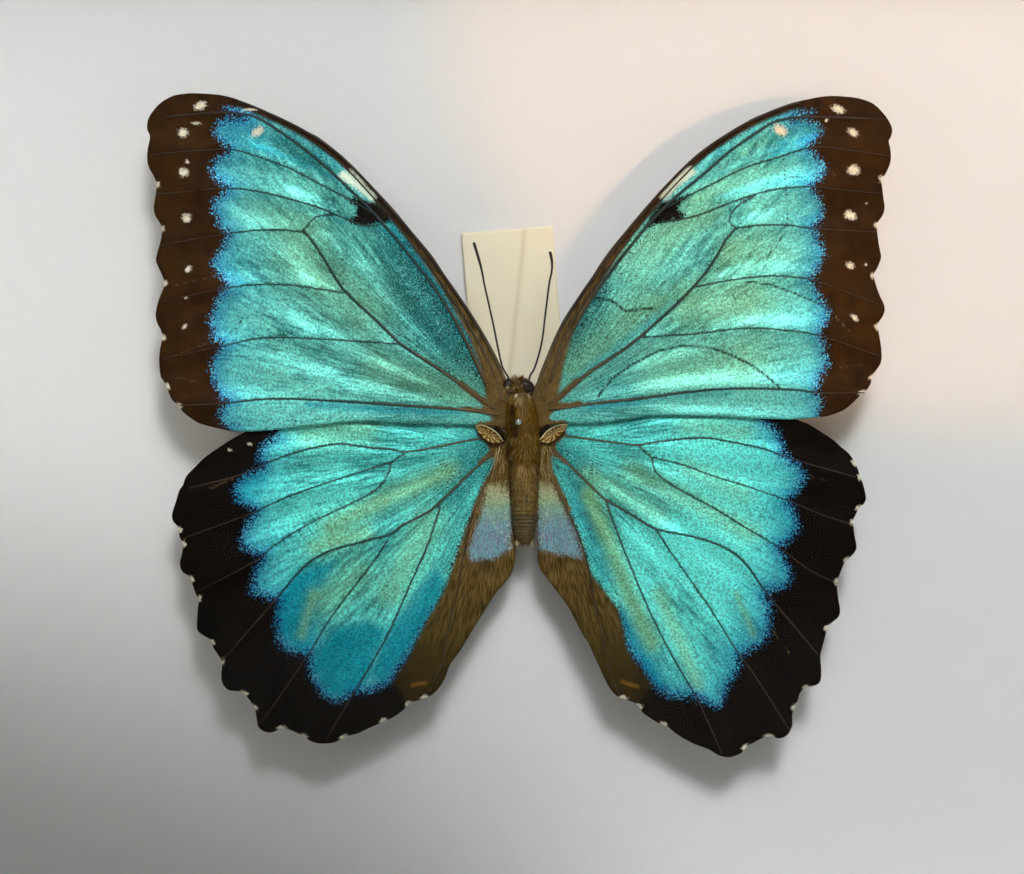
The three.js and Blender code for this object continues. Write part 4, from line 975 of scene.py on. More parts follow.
def membrane(form, height):
    """Both faces of a wing and the rim between them, on a net of even triangles."""
    outline = curve(form["outline"], RIM_STEPS, closed=True)
    low, high = outline.min(0), outline.max(0)
    row = NET_STEP * math.sqrt(3) / 2
    ys = np.arange(low[1], high[1], row)
    grid = []
    for j, gy in enumerate(ys):
        xs = np.arange(low[0] + (j % 2) * NET_STEP / 2, high[0], NET_STEP)
        grid.append(np.column_stack([xs, np.full(len(xs), gy)]))
    grid = np.vstack(grid)
    grid = grid[inside(grid, outline)]
    closed = np.vstack([outline, outline[:1]])
    grid = grid[distance(grid, closed)[0] > NET_STEP * 0.5]
    seeds = [Vector(p) for p in np.vstack([outline, grid])]
    net = geometry.delaunay_2d_cdt(seeds, [], [list(range(len(outline)))], 1, 1e-5)
    flat = np.array([(v.x, v.y) for v in net[0]])
    triangles = [list(f) for f in net[2]]
    # All the triangles turn one way, and they have to face away from the board
    a, b, c = flat[triangles[0][0]], flat[triangles[0][1]], flat[triangles[0][2]]
    if (b - a)[0] * (c - a)[1] - (b - a)[1] * (c - a)[0] < 0:
        triangles = [f[::-1] for f in triangles]
    edge = distance(flat, closed)[0]
    marks = wing_marks(flat, form, edge)
    base = height(flat[:, 0], flat[:, 1]) + relief(marks, flat)
    half = WING_THICK / 2 * smoothstep(-0.1, 0.4, edge) + 0.02  # it thins at its rim
    count = len(flat)
    sides = {}
    for f in triangles:
        for i, j in ((f[0], f[1]), (f[1], f[2]), (f[2], f[0])):
            sides[(i, j)] = True
    rim = [(j, i, i + count, j + count) for i, j in sides if (j, i) not in sides]
    lower = [[i + count for i in f[::-1]] for f in triangles]
    both = np.vstack([np.column_stack([flat, base + half]), np.column_stack([flat, base - half])])
    doubled = {key: np.concatenate([v, v]) for key, v in marks.items()}
    faces = triangles + rim + lower
    finishes = [TOP_SCALES] * (len(triangles) + len(rim)) + [LOW_SCALES] * len(lower)
    return {"points": both, "faces": faces, "marks": doubled, "finish": finishes}


# Morpho scales: turquoise shingles 0.1 mm across that mirror like brushed foil, deeper blue near
# the border, greener by the root, with bare dark flecks, and with painted sheen, shade and glints.
# Borders are matt black-brown scales.
def scale_finish(name, turquoise, border, rims):
    """A wing's upper side. Turquoise gives its dark and light colour, border its own two and then
    those of the brown edge's outer part, and rims the width, share and colour of each."""
    made, tree = finish(name)
    place = add(tree, "TexCoord", {}, out="Object")
    mark = {}
    for key in (*STROKES, "blue", "vein", "bar", "brown", "violet", "pale", "fan", "reach"):
        mark[key] = add(tree, "Attribute", {}, out="Fac", attribute_name=key)
    # The scales' grain is drawn at 0.28 and 0.22 mm, coarser than the real ones, so that it shows
    noise = {}
    sizes = [("grain", 0.28, 1.0), ("fine", 0.22, 0.0), ("patch", 5, 2.0), ("smear", 1.6, 1.0)]
    for key, size, detail in sizes:
        noise[key] = add(tree, "TexNoise", {"Vector": place, "Scale": 1 / (size * MM), "Detail": detail})
    # Streaks run out from the root: a place across them counts for more than one along them
    streaks = [("pleat", 40.0, 0.20), ("streak", 95.0, 0.5), ("ray", 170.0, 1.4), ("cross", 12.0, 2.3)]
    for key, across, along in streaks:
        turn = add(tree, "Math", {0: mark["fan"], 1: across}, operation="MULTIPLY")
        out = add(tree, "Math", {0: mark["reach"], 1: along}, operation="MULTIPLY")
        polar = add(tree, "CombineXYZ", {"X": turn, "Y": out})
        noise[key] = add(tree, "TexNoise", {"Vector": polar, "Scale": 1.0, "Detail": 1.0})

    # Turquoise: its light and dark, where the light strokes and the pleat and ripple bands are painted
    # sheen and painted shade and the streak and patch noise vary its tone, then green and deep blue,
    # painted shade along the folds, and the border's nearness
    painted_sheen_and_tone = add(tree, "Math", {0: mark["light"], 1: 0.42}, operation="ADD")
    for key, swing in (("pleat", 0.44), ("streak", 0.36), ("patch", 0.18), ("cross", 0.12)):
        wave = add(tree, "MapRange", {"Value": noise[key], "From Min": 0.25, "From Max": 0.75,
                                      "To Min": -swing, "To Max": swing})
        if key == "cross":
            more = add(tree, "MapRange", {"Value": mark["ripple"], "To Min": 0.6, "To Max": 4.5})
            wave = add(tree, "Math", {0: wave, 1: more}, operation="MULTIPLY")
        painted_sheen_and_tone = add(tree, "Math", {0: painted_sheen_and_tone, 1: wave}, operation="ADD")
    color = add(tree, "Mix", {0: painted_sheen_and_tone, 6: linear(turquoise[0]), 7: linear(turquoise[1])}, **COLORS)
    near = add(tree, "MapRange", {"Value": mark["blue"], "From Min": 2.8, "From Max": 0.6})
    outer = add(tree, "MapRange", {"Value": mark["reach"], "From Min": 24.0, "From Max": 34.0})
    near = add(tree, "Math", {0: near, 1: outer}, operation="MULTIPLY")
    wide = add(tree, "MapRange", {"Value": mark["blue"], "From Min": 7.5, "From Max": 1.5})
    wide = add(tree, "Math", {0: wide, 1: outer}, operation="MULTIPLY")
    # The deep blue and the green are painted shade along the folds and in the pools
    layers = [(wide, 0.38, "3ab6cf"), (near, 0.62, "1f7ea8"), (mark["deep"], 0.92, "0294a6"),
              (mark["green"], 0.72, "90c47a")]
    for share, most, code in layers:
        share = add(tree, "Math", {0: share, 1: most}, operation="MULTIPLY", use_clamp=True)
        color = add(tree, "Mix", {0: share, 6: color, 7: linear(code)}, **COLORS)

    # Grain of single scales, painted glints where some scales would flash, and bare flecks where they are
    # lost
    gain = add(tree, "MapRange", {"Value": noise["grain"], "From Min": 0.34, "From Max": 0.66,
                                  "To Min": 0.66, "To Max": 1.34})
    color = add(tree, "Mix", {0: 1.0, 6: color, 7: gain}, **COLORS, blend_type="MULTIPLY")
    painted_glint = add(tree, "MapRange", {"Value": noise["fine"], "From Min": 0.60, "From Max": 0.80,
                                   "To Max": 0.45})
    dull = add(tree, "MapRange", {"Value": mark["deep"], "To Min": 1.0, "To Max": 0.0})
    painted_glint = add(tree, "Math", {0: painted_glint, 1: dull}, operation="MULTIPLY")
    color = add(tree, "Mix", {0: painted_glint, 6: color, 7: linear("9ff0e6")}, **COLORS)
    worn = add(tree, "MapRange", {"Value": mark["speck"], "To Min": 0.22, "To Max": 0.43})
    bare = add(tree, "Math", {0: worn, 1: noise["fine"]}, operation="SUBTRACT")
    bare = add(tree, "MapRange", {"Value": bare, "From Min": 0.0, "From Max": 0.05, "To Max": 0.85})
    color = add(tree, "Mix", {0: bare, 6: color, 7: linear("27291d")}, **COLORS)

    # Veins, scratches and the black bar, all frayed by the grain
    fray = add(tree, "MapRange", {"Value": noise["grain"], "From Min": 0.3, "From Max": 0.7,
                                  "To Min": -1.0, "To Max": 1.0})
    ragged = add(tree, "Math", {0: fray, 1: 0.04}, operation="MULTIPLY")
    line = add(tree, "Math", {0: mark["vein"], 1: ragged}, operation="ADD")
    line = add(tree, "MapRange", {"Value": line, "From Min": 0.16, "From Max": 0.0, "To Max": 0.85})
    torn = add(tree, "MapRange", {"Value": noise["grain"], "From Min": 0.3, "From Max": 0.7,
                                  "To Min": 0.25, "To Max": 1.35})
    cut = add(tree, "Math", {0: mark["scratches"], 1: torn}, operation="MULTIPLY")
    cut = add(tree, "MapRange", {"Value": cut, "From Min": 0.22, "From Max": 0.5, "To Max": 0.9})
    frayed = add(tree, "Math", {0: fray, 1: 0.45}, operation="MULTIPLY")
    bar = add(tree, "Math", {0: mark["bar"], 1: frayed}, operation="ADD")
    bar = add(tree, "MapRange", {"Value": bar, "From Min": -0.15, "From Max": 0.12})
    for share, code in ((line, "0f302f"), (cut, "141b16"), (bar, "120d08")):
        color = add(tree, "Mix", {0: share, 6: color, 7: linear(code)}, **COLORS)

    # The border, frayed along the rays and scale by scale, with a deep blue rim
    rim = mark["blue"]
    for key, swing in (("ray", 0.36), ("fine", 0.66)):
        wave = add(tree, "MapRange", {"Value": noise[key], "From Min": 0.28, "From Max": 0.72,
                                      "To Min": -swing, "To Max": swing})
        rim = add(tree, "Math", {0: rim, 1: wave}, operation="ADD")
    for low, share, code in rims:
        share = add(tree, "MapRange", {"Value": rim, "From Min": low, "From Max": 0.0, "To Max": share})
        share = add(tree, "Math", {0: share, 1: outer}, operation="MULTIPLY")
        color = add(tree, "Mix", {0: share, 6: color, 7: linear(code)}, **COLORS)
    dark = add(tree, "Mix", {0: noise["patch"], 6: linear(border[0]), 7: linear(border[1])}, **COLORS)
    shade = add(tree, "MapRange", {"Value": noise["smear"], "From Min": 0.3, "From Max": 0.7,
                                   "To Min": 0.8, "To Max": 1.18})
    dark = add(tree, "Mix", {0: 1.0, 6: dark, 7: shade}, **COLORS, blend_type="MULTIPLY")
    rib = add(tree, "MapRange", {"Value": mark["vein"], "From Min": 0.3, "From Max": 0.0, "To Max": 0.6})
    fleck = add(tree, "MapRange", {"Value": noise["fine"], "From Min": 0.64, "From Max": 0.85,
                                   "To Max": 0.13})
    scrape = add(tree, "Math", {0: mark["scrapes"], 1: torn}, operation="MULTIPLY")
    scrape = add(tree, "MapRange", {"Value": scrape, "From Min": 0.15, "From Max": 0.6, "To Max": 0.7})
    for share, code in ((rib, "1d0f05"), (fleck, "5a3d1c"), (scrape, "7d6440")):
        dark = add(tree, "Mix", {0: share, 6: dark, 7: linear(code)}, **COLORS)
    shining = add(tree, "MapRange", {"Value": rim, "From Min": -0.08, "From Max": 0.08})
    color = add(tree, "Mix", {0: shining, 6: dark, 7: color}, **COLORS)

    # Brown front edge and inner margin: olive-brown by the root, near-black further out
    far = add(tree, "MapRange", {"Value": mark["reach"], "From Min": 10.0, "From Max": 34.0})
    sky = add(tree, "MapRange", {"Value": noise["streak"], "From Min": 0.40, "From Max": 0.60})
    near_brown = add(tree, "Mix", {0: sky, 6: linear("46330f"), 7: linear("80663a")}, **COLORS)
    far_brown = add(tree, "Mix", {0: noise["streak"], 6: linear(border[2]), 7: linear(border[3])}, **COLORS)
    brown = add(tree, "Mix", {0: far, 6: near_brown, 7: far_brown}, **COLORS)
    end = add(tree, "MapRange", {"Value": mark["reach"], "From Min": 28.0, "From Max": 40.0, "To Max": 0.7})
    brown = add(tree, "Mix", {0: end, 6: brown, 7: dark}, **COLORS)
    brown = add(tree, "Mix", {0: 1.0, 6: brown, 7: shade}, **COLORS, blend_type="MULTIPLY")
    over = add(tree, "Math", {0: fray, 1: 0.22}, operation="MULTIPLY")
    root = add(tree, "Math", {0: mark["base"], 1: over}, operation="ADD")
    root = add(tree, "MapRange", {"Value": root, "From Min": 0.30, "From Max": 0.62})
    for share in (mark["brown"], root):
        color = add(tree, "Mix", {0: share, 6: color, 7: brown}, **COLORS)

    # The patch beside the abdomen: cream at its top, then green, then sky blue with violet edges
    haze = add(tree, "Math", {0: mark["violet"], 1: over}, operation="ADD")
    haze = add(tree, "MapRange", {"Value": haze, "From Min": 0.25, "From Max": 0.85})
    sky = add(tree, "Mix", {0: sky, 6: linear("7e8495"), 7: linear("6fa9ae")}, **COLORS)
    for start, end, code in ((11.5, 8.0, "8fae8c"), (8.6, 5.0, "c9bf8a")):
        share = add(tree, "MapRange", {"Value": mark["reach"], "From Min": start, "From Max": end})
        sky = add(tree, "Mix", {0: share, 6: sky, 7: linear(code)}, **COLORS)
    sky = add(tree, "Mix", {0: 0.7, 6: sky, 7: gain}, **COLORS, blend_type="MULTIPLY")
    color = add(tree, "Mix", {0: haze, 6: color, 7: sky}, **COLORS)
    for key, low, high, code in (("cream", 0.25, 0.85, "cbd6be"), ("orange", 0.35, 1.1, "7d5418"),
                                 ("pale", 0.28, 0.85, "f0e6cc")):
        amount = add(tree, "Math", {0: mark[key], 1: over}, operation="ADD")
        amount = add(tree, "MapRange", {"Value": amount, "From Min": low, "From Max": high, "To Max": 0.95})
        color = add(tree, "Mix", {0: amount, 6: color, 7: linear(code)}, **COLORS)

    matt = add(tree, "Math", {0: mark["brown"], 1: root}, operation="MAXIMUM")
    foil = add(tree, "MapRange", {"Value": matt, "From Min": 1.0, "From Max": 0.0})
    foil = add(tree, "Math", {0: foil, 1: shining}, operation="MULTIPLY")
    metal = add(tree, "Math", {0: foil, 1: 0.30}, operation="MULTIPLY")
    rough = add(tree, "MapRange", {"Value": foil, "To Min": 0.62, "To Max": 0.42})
    grainy = add(tree, "Math", {0: noise["grain"], 1: noise["streak"]}, operation="ADD")
    bump = add(tree, "Bump", {"Height": grainy, "Strength": 0.4, "Distance": 0.08 * MM})
    skin = add(tree, "BsdfPrincipled", {"Base Color": color, "Metallic": metal, "Roughness": rough,
                                        "Normal": bump, "Specular IOR Level": 0.05})
    add(tree, "OutputMaterial", {"Surface": skin})
    return made


# The underside's scales: matt browns in bands that follow the margin, as dead leaves look.
under, tree = finish("leaf_brown_scales")
place = add(tree, "TexCoord", {}, out="Object")
edge = add(tree, "Attribute", {}, out="Fac", attribute_name="edge")
grain = add(tree, "TexNoise", {"Vector": place, "Scale": 1 / (0.3 * MM), "Detail": 2.0})
cloud = add(tree, "TexNoise", {"Vector": place, "Scale": 1 / (6 * MM), "Detail": 4.0})
shift = add(tree, "Math", {0: cloud, 1: 5.0}, operation="MULTIPLY")
bands = add(tree, "Math", {0: edge, 1: shift}, operation="ADD")
bands = add(tree, "Math", {0: bands, 1: 0.9}, operation="MULTIPLY")
bands = add(tree, "Math", {0: bands}, operation="SINE")
bands = add(tree, "MapRange", {"Value": bands, "From Min": -0.2, "From Max": 0.9})
color = add(tree, "Mix", {0: bands, 6: linear("5a4228"), 7: linear("8a6b45")}, **COLORS)
gain = add(tree, "MapRange", {"Value": grain, "From Min": 0.3, "From Max": 0.7,
                              "To Min": 0.75, "To Max": 1.2})
color = add(tree, "Mix", {0: 1.0, 6: color, 7: gain}, **COLORS, blend_type="MULTIPLY")
skin = add(tree, "BsdfPrincipled", {"Base Color": color, "Roughness": 0.75, "Specular IOR Level": 0.3})
add(tree, "OutputMaterial", {"Surface": skin})

# Veins: hollow chitin tubes, brown and bare at the root, thin and dark further out.
chitin, tree = finish("vein_chitin")
place = add(tree, "TexCoord", {}, out="Object")
root = add(tree, "Attribute", {}, out="Fac", attribute_name="reach")
far = add(tree, "MapRange", {"Value": root, "From Min": 4.0, "From Max": 22.0})
grain = add(tree, "TexNoise", {"Vector": place, "Scale": 1 / (0.4 * MM), "Detail": 2.0})
near_color = add(tree, "Mix", {0: grain, 6: linear("3a2810"), 7: linear("7d6238")}, **COLORS)
far_color = add(tree, "Mix", {0: grain, 6: linear("0c2626"), 7: linear("1c3a38")}, **COLORS)
color = add(tree, "Mix", {0: far, 6: near_color, 7: far_color}, **COLORS)
dark = add(tree, "Attribute", {}, out="Fac", attribute_name="blue")
dark = add(tree, "MapRange", {"Value": dark, "From Min": 0.3, "From Max": -0.5})
color = add(tree, "Mix", {0: dark, 6: color, 7: linear("2e1e0e")}, **COLORS)
skin = add(tree, "BsdfPrincipled", {"Base Color": color, "Roughness": 0.5, "Specular IOR Level": 0.4})
add(tree, "OutputMaterial", {"Surface": skin})


def offset(route, inward, start, end):
    """A route moved sideways, by one distance at its start and another at its end."""
    line = curve(route, 3)
    ahead = np.gradient(line, axis=0)
    ahead /= np.hypot(*ahead.T)[:, None]
    side = np.stack([-ahead[:, 1], ahead[:, 0]], 1) * inward
    return line + side * np.linspace(start, end, len(line))[:, None]


def pleated(form, height):
    """The membrane's height along a vein, with its relief, as a function of places."""
    def surface(x, y):
        fan, reach = from_root(x, y, form)
        marks = {"vein": 0 * x, "fan": fan, "reach": reach, "ripple": 0 * x}
        return height(x, y) + relief(marks, np.column_stack([x, y]))

    return surface


fore_scales = scale_finish("morpho_scales_fore", ("2b7b77", "76dccb"),
                           ("1e1001", "402608", "241503", "3c270c"),
                           [(0.9, 0.65, "20509c"), (0.4, 0.95, "261434")])
hind_scales = scale_finish("morpho_scales_hind", ("2a8a86", "6cf2e2"),
                           ("050200", "110802", "2a2006", "504012"),
                           [(1.4, 0.75, "174a94"), (0.7, 0.95, "0c0a2a")])
wings = [
    ("hindwing_left", hind_left, hind_height, hind_scales, 0),
    ("hindwing_right", hind_right, hind_height, hind_scales, 0),
    ("forewing_left", fore_left, fore_height, fore_scales, 1),
    ("forewing_right", fore_right, fore_height, fore_scales, -1),
]
COSTA_POINTS = 20  # the front edge's lines have more points than any vein's
for name, form, height, scales, inward in wings:
    parts = [membrane(form, height)]
    veins = [(start, end, route) for start, end, *route in form["veins"]]
    if inward:
        # The front edge itself, and the ridge that runs behind it
        veins.append((0.30, 0.16, offset(form["costa"], inward, 0.32, 0.16)[1:-6]))
        veins.append((0.18, 0.08, offset(form["costa"], inward, 1.5, 0.6)[1:-12]))

    for start, end, route in veins:
        rib = tube(route, (start, end), pleated(form, height), lift=0.08, steps=3, flat=0.7)
        flat = rib["points"][:, :2]
        reach = from_root(*flat.T, form)[1]
        depth = depth_in(flat, form["blue"])
        if len(route) > COSTA_POINTS:
            depth = 0.3 - 0.8 * smoothstep(6, 20, reach)
        parts.append({**rib, "finish": CHITIN, "marks": {"reach": reach, "blue": depth}})
    wing = build("scaled_" + name, parts, [scales, under, chitin])
    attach(wing, "root")
    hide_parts(name)


# Body. A dried thorax, head and abdomen of brown chitin, covered in hair-like scales that lie
# backwards. The legs are folded under the thorax.
SEED = 7
rng = np.random.default_rng(SEED)
CUTICLE, HAIR, EYE = range(3)  # the body's materials, in order


def loft(sections, rows=12):
    """A closed body through oval sections (y, middle x, half width, middle z, half height), as a
    function of places along and round it. Round is 0 on top and grows to the right."""
    dense = curve(sections, rows)
    stations = np.linspace(0, 1, len(dense))

    def surface(along, around, swell=1.0):
        y, x, w, z, h = (np.interp(along, stations, dense[:, k]) for k in range(5))
        return np.stack([x + swell * w * np.sin(around), y, z + swell * h * np.cos(around)], -1)

    return surface


def skin_part(surface, rows, sides, rings=0, depth=0.0):
    """The mesh of a loft, with its ends closed, and grooves between rings where it has them."""
    turns = np.arange(sides) * 2 * math.pi / sides
    along, around = np.meshgrid(np.linspace(0, 1, rows), turns, indexing="ij")
    groove = np.clip(np.cos(2 * math.pi * rings * along) * 2 - 1, 0, 1) if rings else 0 * along
    swell = 1 - depth * groove
    points = surface(along, around, swell).reshape(-1, 3)
    faces = ring_faces(rows, sides, closed=True)
    # The tone drops in the grooves, and the chitin's finish darkens them by it: painted shade
    tone = 0.35 * (1 - groove.ravel())
    return {"points": points, "faces": faces, "finish": CUTICLE, "marks": {"tone": tone}}


def hair(roots, ways, outward, lengths, width, lift, tones):
    """Thin tapered blades: from its root each runs its way, and rises outward in its middle."""
    count = len(roots)
    ways = ways / np.linalg.norm(ways, axis=1)[:, None]
    outward = outward / np.linalg.norm(outward, axis=1)[:, None]
    side = np.cross(ways, outward)
    side /= np.linalg.norm(side, axis=1)[:, None]
    side *= width / 2
    middle = roots + ways * lengths[:, None] * 0.5 + outward * (lift * lengths)[:, None]
    tip = roots + ways * lengths[:, None] + outward * (lift * lengths * 1.1)[:, None]
    points = np.stack([roots - side, roots + side, middle + side * 0.8, middle - side * 0.8, tip], 1)
    faces = []
    for i in range(count):
        f = 5 * i
        faces.append((f, f + 1, f + 2, f + 3))
        faces.append((f + 3, f + 2, f + 4))
    tones = np.repeat(tones, 5)
    return {"points": points.reshape(-1, 3), "faces": faces, "finish": HAIR, "marks": {"tone": tones}}


def coat(surface, count, along, around, length, width, lift, tones, way=(0, -1, 0), splay=0.35):
    """Hair all over a stretch of a loft, laid along a way and spread a little to the sides."""
    s = rng.uniform(*along, count)
    a = rng.uniform(*around, count)
    roots = surface(s, a)
    outward = roots - surface(s, a, 0.6)
    ways = np.array(way) + np.column_stack([np.sin(a) * 0.25, 0 * a, 0 * a])
    ways = ways + rng.normal(0, splay, (count, 3)) * (1, 0.2, 0.3)
    lengths = length * rng.uniform(0.6, 1.3, count)
    shade = np.clip(rng.normal(tones[0], tones[1], count), 0, 1)
    return hair(roots, ways, outward, lengths, width, lift, shade)


def level(z):
    """One height, as a function of places."""
    return lambda x, y: np.full(np.shape(x), z)


# Dark chitin under the hair, darker in the abdomen's grooves as painted shade, hair from brown to gold
# and cream by its tone, and glossy eyes
cuticle, tree = finish("dark_chitin")
place = add(tree, "TexCoord", {}, out="Object")
grain = add(tree, "TexNoise", {"Vector": place, "Scale": 1 / (0.5 * MM), "Detail": 4.0})
color = add(tree, "Mix", {0: grain, 6: linear("32270c"), 7: linear("6b5a28")}, **COLORS)
# A low tone, in the abdomen's grooves, darkens the chitin: painted shade
groove = add(tree, "Attribute", {}, out="Fac", attribute_name="tone")
groove = add(tree, "MapRange", {"Value": groove, "From Max": 0.35, "To Min": 0.25})
color = add(tree, "Mix", {0: 1.0, 6: color, 7: groove}, **COLORS, blend_type="MULTIPLY")
bump = add(tree, "Bump", {"Height": grain, "Strength": 0.4, "Distance": 0.1 * MM})
skin = add(tree, "BsdfPrincipled", {"Base Color": color, "Roughness": 0.55, "Normal": bump})
add(tree, "OutputMaterial", {"Surface": skin})

hairs, tree = finish("brown_hair_scales")
tone = add(tree, "Attribute", {}, out="Fac", attribute_name="tone")
low = add(tree, "MapRange", {"Value": tone, "From Min": 0.0, "From Max": 0.5})
high = add(tree, "MapRange", {"Value": tone, "From Min": 0.5, "From Max": 1.0})
color = add(tree, "Mix", {0: low, 6: linear("1c1003"), 7: linear("7c5708")}, **COLORS)
color = add(tree, "Mix", {0: high, 6: color, 7: linear("e6d9a8")}, **COLORS)
skin = add(tree, "BsdfPrincipled", {"Base Color": color, "Roughness": 0.6, "Specular IOR Level": 0.06})
add(tree, "OutputMaterial", {"Surface": skin})

eye_shell, tree = finish("compound_eye")
place = add(tree, "TexCoord", {}, out="Object")
facets = add(tree, "TexVoronoi", {"Vector": place, "Scale": 1 / (0.12 * MM)})
bump = add(tree, "Bump", {"Height": facets, "Strength": 0.5, "Distance": 0.03 * MM})
skin = add(tree, "BsdfPrincipled", {"Base Color": linear("24120c"), "Roughness": 0.3, "Normal": bump})
add(tree, "OutputMaterial", {"Surface": skin})

thorax = loft([
    (4.9, 0.15, 0.6, 9.0, 0.6), (4.5, 0.15, 1.2, 9.0, 1.1), (3.6, 0.2, 1.85, 8.9, 1.7),
    (2.0, 0.35, 2.2, 8.6, 2.3), (0.5, 0.5, 2.35, 8.4, 2.6),
    (-1.5, 0.6, 2.35, 8.3, 2.5), (-3.2, 0.7, 2.1, 8.1, 2.1),
    (-4.6, 0.75, 1.6, 7.9, 1.6), (-5.4, 0.75, 0.9, 7.8, 0.9),
])
UPPER = (-1.75, 1.75)  # round a body, over its top and sides
UNDER = (1.75, 4.53)
# Each coat has its number of hairs, their stretch along and round the body, their length, width
# and lift, and their tone with its spread
parts = [
    skin_part(thorax, 60, 36),
    coat(thorax, 6500, (0.04, 0.95), UPPER, 0.8, 0.05, 0.08, (0.34, 0.13), splay=0.2),
    coat(thorax, 900, (0.04, 0.93), UNDER, 1.2, 0.10, 0.25, (0.3, 0.12)),
    coat(thorax, 300, (0.06, 0.3), UPPER, 0.8, 0.05, 0.2, (0.55, 0.12)),
    coat(thorax, 900, (0.60, 0.97), UPPER, 1.5, 0.05, 0.12, (0.46, 0.12), splay=0.25),
    coat(thorax, 150, (0.30, 0.62), (-0.68, -0.36), 0.7, 0.06, 0.3, (0.04, 0.04), splay=0.25),
    coat(thorax, 26, (0.10, 0.16), (-0.5, -0.3), 0.6, 0.06, 0.4, (0.9, 0.05)),
    coat(thorax, 26, (0.10, 0.16), (0.75, 1.0), 0.6, 0.06, 0.4, (0.9, 0.05)),
]
# The folded skins where the wings join: a curled leaf each side with bright edges and a near-black
# tube of painted shade in its fold, and hair strands that lie over the hindwing's root
STRANDS = 240
LEAF_TOP = 9.55  # height of its edge, and how far its middle lies lower
LEAF_DIP = 0.5
left_leaf = [(-2.3, -2.3), (-3.3, -1.0), (-5.1, -0.05), (-6.2, -0.1), (-5.2, -1.6), (-3.9, -2.5)]
right_leaf = [(3.0, -2.1), (4.1, -0.8), (5.6, -0.05), (6.9, 0.05), (6.0, -1.3), (4.3, -2.5)]
for side, leaf, strands in ((-1, left_leaf, (-2.5, -4)), (1, right_leaf, (3.9, -4))):
    curl = curve(leaf, 6, closed=True)
    count = len(curl)
    middle = curl.mean(0)
    shares = (1.0, 0.8, 0.6, 0.4, 0.2, 0.02)
    rings = []
    for share in shares:
        z = LEAF_TOP - LEAF_DIP * (1 - share) ** 0.6
        rings.append(np.column_stack([middle + (curl - middle) * share, np.full(count, z)]))
    streaks = 0.52 + 0.26 * np.sin(np.arange(count) * 2.1)
    tones = np.clip(streaks + rng.normal(0, 0.1, (len(shares), count)), 0, 1).ravel()
    faces = ring_faces(len(shares), count)
    parts.append({"points": np.vstack(rings), "faces": faces, "finish": HAIR, "marks": {"tone": tones}})
    edging = tube(leaf[:4], (0.09, 0.05), level(LEAF_TOP + 0.05), steps=6)
    parts.append({**edging, "finish": HAIR, "marks": {"tone": np.full(len(edging["points"]), 0.9)}})
    # A near-black tube along the fold is painted shade in its hollow
    (x0, y0), (x1, y1) = leaf[:2]
    fold = [(x0, y0), (x0 + side * 0.25, y0 + 1.0), (x1 + side * 0.2, y1 + 0.75)]
    hollow = tube(fold, (0.35, 0.3), level(LEAF_TOP - 0.15), steps=6, flat=0.5)
    parts.append({**hollow, "finish": HAIR, "marks": {"tone": np.zeros(len(hollow["points"]))}})
    roots = np.column_stack([rng.uniform(-0.8, 0.6, STRANDS) + strands[0],
                             rng.uniform(-2.4, 1.4, STRANDS) + strands[1], np.full(STRANDS, 8.7)])
    ways = np.array((side * 0.12, -1, -0.1)) + rng.normal(0, 0.13, (STRANDS, 3))
    up = np.tile((0.0, 0.0, 1.0), (STRANDS, 1))
    tones = np.clip(rng.normal(0.45, 0.2, STRANDS), 0, 1)
    parts.append(hair(roots, ways, up, rng.uniform(1.0, 4.2, STRANDS), 0.045, 0.04, tones))
# The legs, folded back along the underside: each has its height and its joints' places
LEGS = [(5.5, [(0.9, 3.2), (1.9, 1.2), (1.0, -2.2)]), (5.2, [(1.1, 0.6), (2.2, -1.6), (1.2, -4.6)])]
for side in (-1, 1):
    for z, joints in LEGS:
        route = [(0.5 + side * x, y) for x, y in joints]
        leg = tube(route, (0.28, 0.12), level(z), sides=8)
        parts.append({**leg, "finish": CUTICLE, "marks": {"tone": np.full(len(leg["points"]), 0.3)}})
body = build("haired_thorax", parts, [cuticle, hairs])
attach(body, "root")
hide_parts("thorax")


def eyeball(middle, radii, turn, steps=20):
    """An oval ball with the eyes' finish, turned by some degrees as seen from the front."""
    over = np.linspace(0, math.pi, steps)
    around = np.arange(2 * steps) * math.pi / steps
    o, a = np.meshgrid(over, around, indexing="ij")
    p = np.stack([np.sin(o) * np.cos(a), np.sin(o) * np.sin(a), np.cos(o)], -1).reshape(-1, 3) * radii
    c, s = math.cos(math.radians(turn)), math.sin(math.radians(turn))
    points = np.column_stack([p[:, 0] * c - p[:, 1] * s, p[:, 0] * s + p[:, 1] * c, p[:, 2]]) + middle
    faces = [(a, d, c, b) for a, b, c, d in ring_faces(steps, 2 * steps)]
    return {"points": points, "faces": faces, "finish": EYE}


skull = loft([
    (4.3, 0.1, 0.8, 9.1, 0.8), (4.9, 0.05, 1.4, 9.2, 1.15), (5.6, 0.0, 1.5, 9.3, 1.2),
    (6.3, -0.1, 1.15, 9.3, 1.0), (6.8, -0.15, 0.5, 9.2, 0.5),
])
parts = [
    skin_part(skull, 30, 30),
    eyeball((0.95, 5.6, 9.7), (1.35, 0.95, 1.0), -28),
    eyeball((-1.45, 5.85, 9.4), (0.85, 0.8, 0.85), 20),
    coat(skull, 420, (0.05, 0.9), UPPER, 0.6, 0.08, 0.3, (0.4, 0.2), way=(0, 0.4, 0.2), splay=0.6),
]
